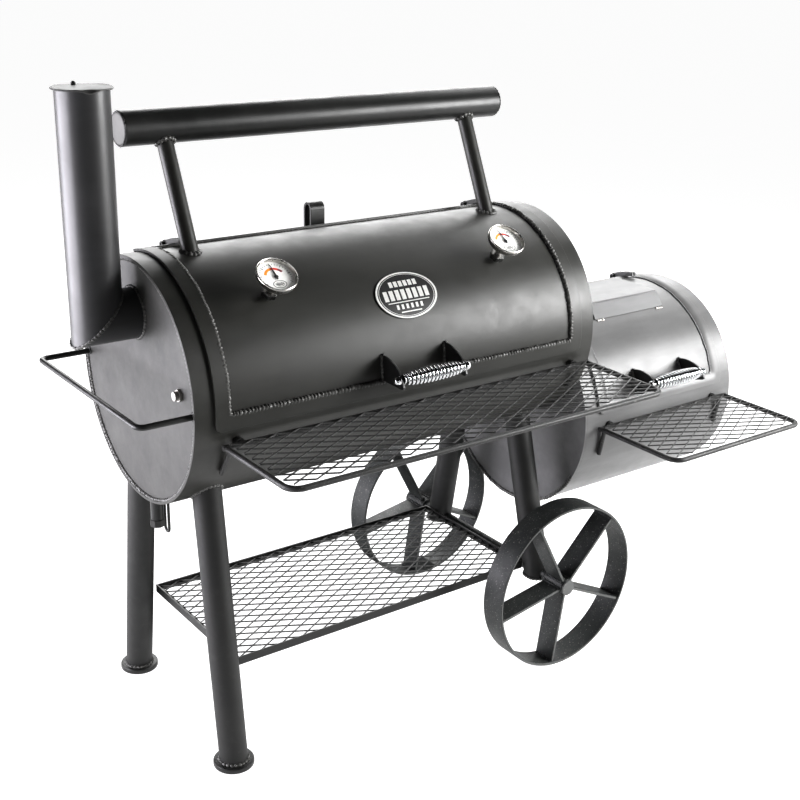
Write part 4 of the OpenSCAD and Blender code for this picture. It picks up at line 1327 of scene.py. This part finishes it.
def lower_shelf():
    """Angle-iron rectangle with an expanded metal floor inside its lip."""
    low, high = own_box("lower_shelf_frame")
    wide, thick, lip = 12, 3.8, 6.5
    section = [
        (0, lip), (thick, lip), (thick, 0), (wide, 0),
        (wide, -thick), (thick, -thick), (thick, -wide), (0, -wide),
    ]
    corners = [(low.x, low.y, 1, 1), (high.x, low.y, -1, 1), (high.x, high.y, -1, -1), (low.x, high.y, 1, -1)]
    rows = [[Vector((x + sx * d, y + sy * d, high.z + h)) for d, h in section] for x, y, sx, sy in corners]
    shape = Shape().grid(rows, close_rows=True, close_columns=True)
    look("lower_shelf_frame", shape, "pit", FRAME_PAINT, "black_paint", bevel=0.8)
    expanded_metal("lower_shelf_mesh", "pit", 0.5)


lower_shelf()


# ---------------------------------------------------------------- warming plate

def warming_plate():
    """Flat top sheet and a sloping apron a narrow gap below it, with tack welds at the lower corners."""
    low, high = own_box("warming_plate")
    top = high.z
    t = 4
    front, back = -97, 48
    sheets = (
        [(front, top), (back, top), (back, top - t), (front, top - t)],
        [(-99.5, top - 3.2), (-96, top - 4.4), (-121.3, top - 37.4), (-124.8, top - 36)],
    )
    shape = Shape()
    for outline in sheets:
        shape.plate([(low.x, y, z) for y, z in outline], ALONG * (high.x - low.x))
    look("warming_plate", shape, "firebox_door", APRON_PAINT_AND_GLARE, "firebox_paint", bevel=0.8)
    beads = Shape()
    for index, x in enumerate((low.x + 5, high.x - 27)):
        line = [Vector((x, -126.4, top - 38.6)), Vector((x + 20, -126.4, top - 38.6))]
        beads.weld(line, always(Vector((0, -0.8, 0.6))), 7, 3, closed=False, seed=90 + index)
    piece("warming_plate_welds", beads, "firebox_door", STEEL, "firebox_paint")


warming_plate()


# ---------------------------------------------------------------- floor, light and camera

def stage_mesh(name, points, faces, material):
    """A mesh, in metres, that belongs to the studio."""
    mesh = bpy.data.meshes.new(name)
    mesh.from_pydata(points, [], faces)
    mesh.materials.append(material)
    obj = bpy.data.objects.new(name, mesh)
    bpy.context.scene.collection.objects.link(obj)
    return obj


def stage_sheet(name, x0, y0, x1, y1, z, material):
    """A flat sheet at one level that belongs to the studio."""
    return stage_mesh(name, [(x0, y0, z), (x1, y0, z), (x1, y1, z), (x0, y1, z)], [(0, 1, 2, 3)], material)


def backdrop(near, far, height, material):
    """Pale wall far off round the floor, which only the camera sees."""
    corners = ((-1, -1), (1, -1), (1, 1), (-1, 1))
    points = [(x * reach, y * reach, z) for reach, z in ((near, 0), (far, height)) for x, y in corners]
    faces = [(k, (k + 1) % 4, (k + 1) % 4 + 4, k + 4) for k in range(4)]
    obj = stage_mesh("backdrop", points, faces, material)
    obj.visible_diffuse = False
    obj.visible_glossy = False
    obj.visible_shadow = False


def floor():
    """Pale floor and backdrop, with black cards that the camera doesn't see: one before the grill, and one
    under it whose reflections paint the shadow the floor under the grill would have.
    """
    white = Nodes("floor_white")
    white.set(Base_Color=(0.45, 0.45, 0.45, 1), Roughness=0.9, Specular_IOR_Level=0.0)
    white.set(Emission_Color=(1, 1, 1, 1), Emission_Strength=0.87)
    reach = 60
    stage_sheet("floor", -reach, -reach, reach, reach, 0, white.material)
    backdrop(reach, reach + 4, 12, white.material)
    black = Nodes("card_black")
    black.set(Base_Color=(0.01, 0.01, 0.01, 1), Roughness=1.0, Specular_IOR_Level=0.0)
    # The card under the grill is painted shadow: a dark sheet, seen only in reflections, where the floor lies
    # in the grill's shade.
    for name, *edges in (("front_card", -5.5, -7.5, 1.4, -1.35), ("under_card", -0.5, 0.15, 0.62, 1.0)):
        card = stage_sheet(name, *edges, 0.01, black.material)
        card.visible_camera = False
        card.visible_shadow = False
        card.visible_diffuse = name == "front_card"


def area_light(name, place, target, size, power, tone=(1, 1, 1)):
    """A soft panel light that isn't seen itself."""
    data = bpy.data.lights.new(name, "AREA")
    data.shape = "RECTANGLE"
    data.size, data.size_y = size
    data.energy = power
    data.color = tone
    obj = bpy.data.objects.new(name, data)
    obj.location = place
    obj.rotation_euler = (Vector(target) - Vector(place)).to_track_quat("-Z", "Y").to_euler()
    obj.visible_camera = False
    bpy.context.scene.collection.objects.link(obj)


def world():
    """Dim room that is brighter at the back and near the horizon than overhead and in front."""
    scene = bpy.context.scene
    scene.world = bpy.data.worlds.new("studio")
    scene.world.use_nodes = True
    tree = scene.world.node_tree
    background = tree.nodes["Background"]
    place = tree.nodes.new("ShaderNodeTexCoord")
    split = tree.nodes.new("ShaderNodeSeparateXYZ")
    tree.links.new(place.outputs["Generated"], split.inputs[0])

    def ramp(source, stops):
        node = tree.nodes.new("ShaderNodeValToRGB")
        tree.links.new(source, node.inputs["Fac"])
        marks = node.color_ramp.elements
        marks[0].position, marks[0].color = stops[0][0], (*[stops[0][1]] * 3, 1)
        marks[1].position, marks[1].color = stops[-1][0], (*[stops[-1][1]] * 3, 1)
        for position, value in stops[1:-1]:
            marks.new(position).color = (value, value, value, 1)
        return node.outputs["Color"]

    by_height = ((0.0, 1.0), (0.06, 1.0), (0.45, 0.8), (0.72, 0.42), (0.9, 0.28), (1.0, 0.25))
    height = ramp(split.outputs["Z"], by_height)
    spread = tree.nodes.new("ShaderNodeMapRange")
    spread.inputs["From Min"].default_value = -1.0
    tree.links.new(split.outputs["Y"], spread.inputs["Value"])
    depth = ramp(spread.outputs["Result"], ((0.0, 0.18), (0.35, 0.25), (0.6, 1.0), (1.0, 1.0)))
    level = tree.nodes.new("ShaderNodeMath")
    level.operation = "MULTIPLY"
    tree.links.new(height, level.inputs[0])
    tree.links.new(depth, level.inputs[1])
    tree.links.new(level.outputs[0], background.inputs["Strength"])


def camera():
    """Camera at the photograph's angle."""
    data = bpy.data.cameras.new("camera")
    data.sensor_width = 36
    data.lens = 57.44
    data.clip_end = 200
    obj = bpy.data.objects.new("camera", data)
    yaw, pitch, roll = math.radians(36.358), math.radians(-20.223), math.radians(1.19)
    look = Vector((math.sin(yaw) * math.cos(pitch), math.cos(yaw) * math.cos(pitch), math.sin(pitch)))
    level = Vector((math.cos(yaw), -math.sin(yaw), 0))
    rise = level.cross(look)
    side = level * math.cos(roll) + rise * math.sin(roll)
    up = rise * math.cos(roll) - level * math.sin(roll)
    turn = Matrix((side, up, -look)).transposed()
    place = ORIGIN / 1000 + Vector((-0.99959, -2.25186, 1.65746))
    obj.matrix_world = Matrix.Translation(place) @ turn.to_4x4()
    bpy.context.scene.collection.objects.link(obj)
    bpy.context.scene.camera = obj


floor()
world()
area_light("key_right", (2.0, -1.75, 1.45), (0.6, 0.0, 0.75), (1.5, 1.2), 135)
area_light("left_panel", (-2.74, 1.1, 0.85), (-0.7, 0.1, 0.85), (2.6, 1.5), 148, (0.95, 0.93, 1.0))
area_light("back_panel", (1.9, 3.3, 2.5), (0.3, 0.0, 0.9), (5.0, 2.6), 200)
area_light("top_right", (2.7, 0.8, 2.9), (0.5, 0.0, 0.8), (1.8, 2.0), 45)
camera()
scene = bpy.context.scene
scene.view_settings.view_transform = "Standard"
scene.view_settings.exposure = 0.15
scene.view_settings.gamma = 0.85
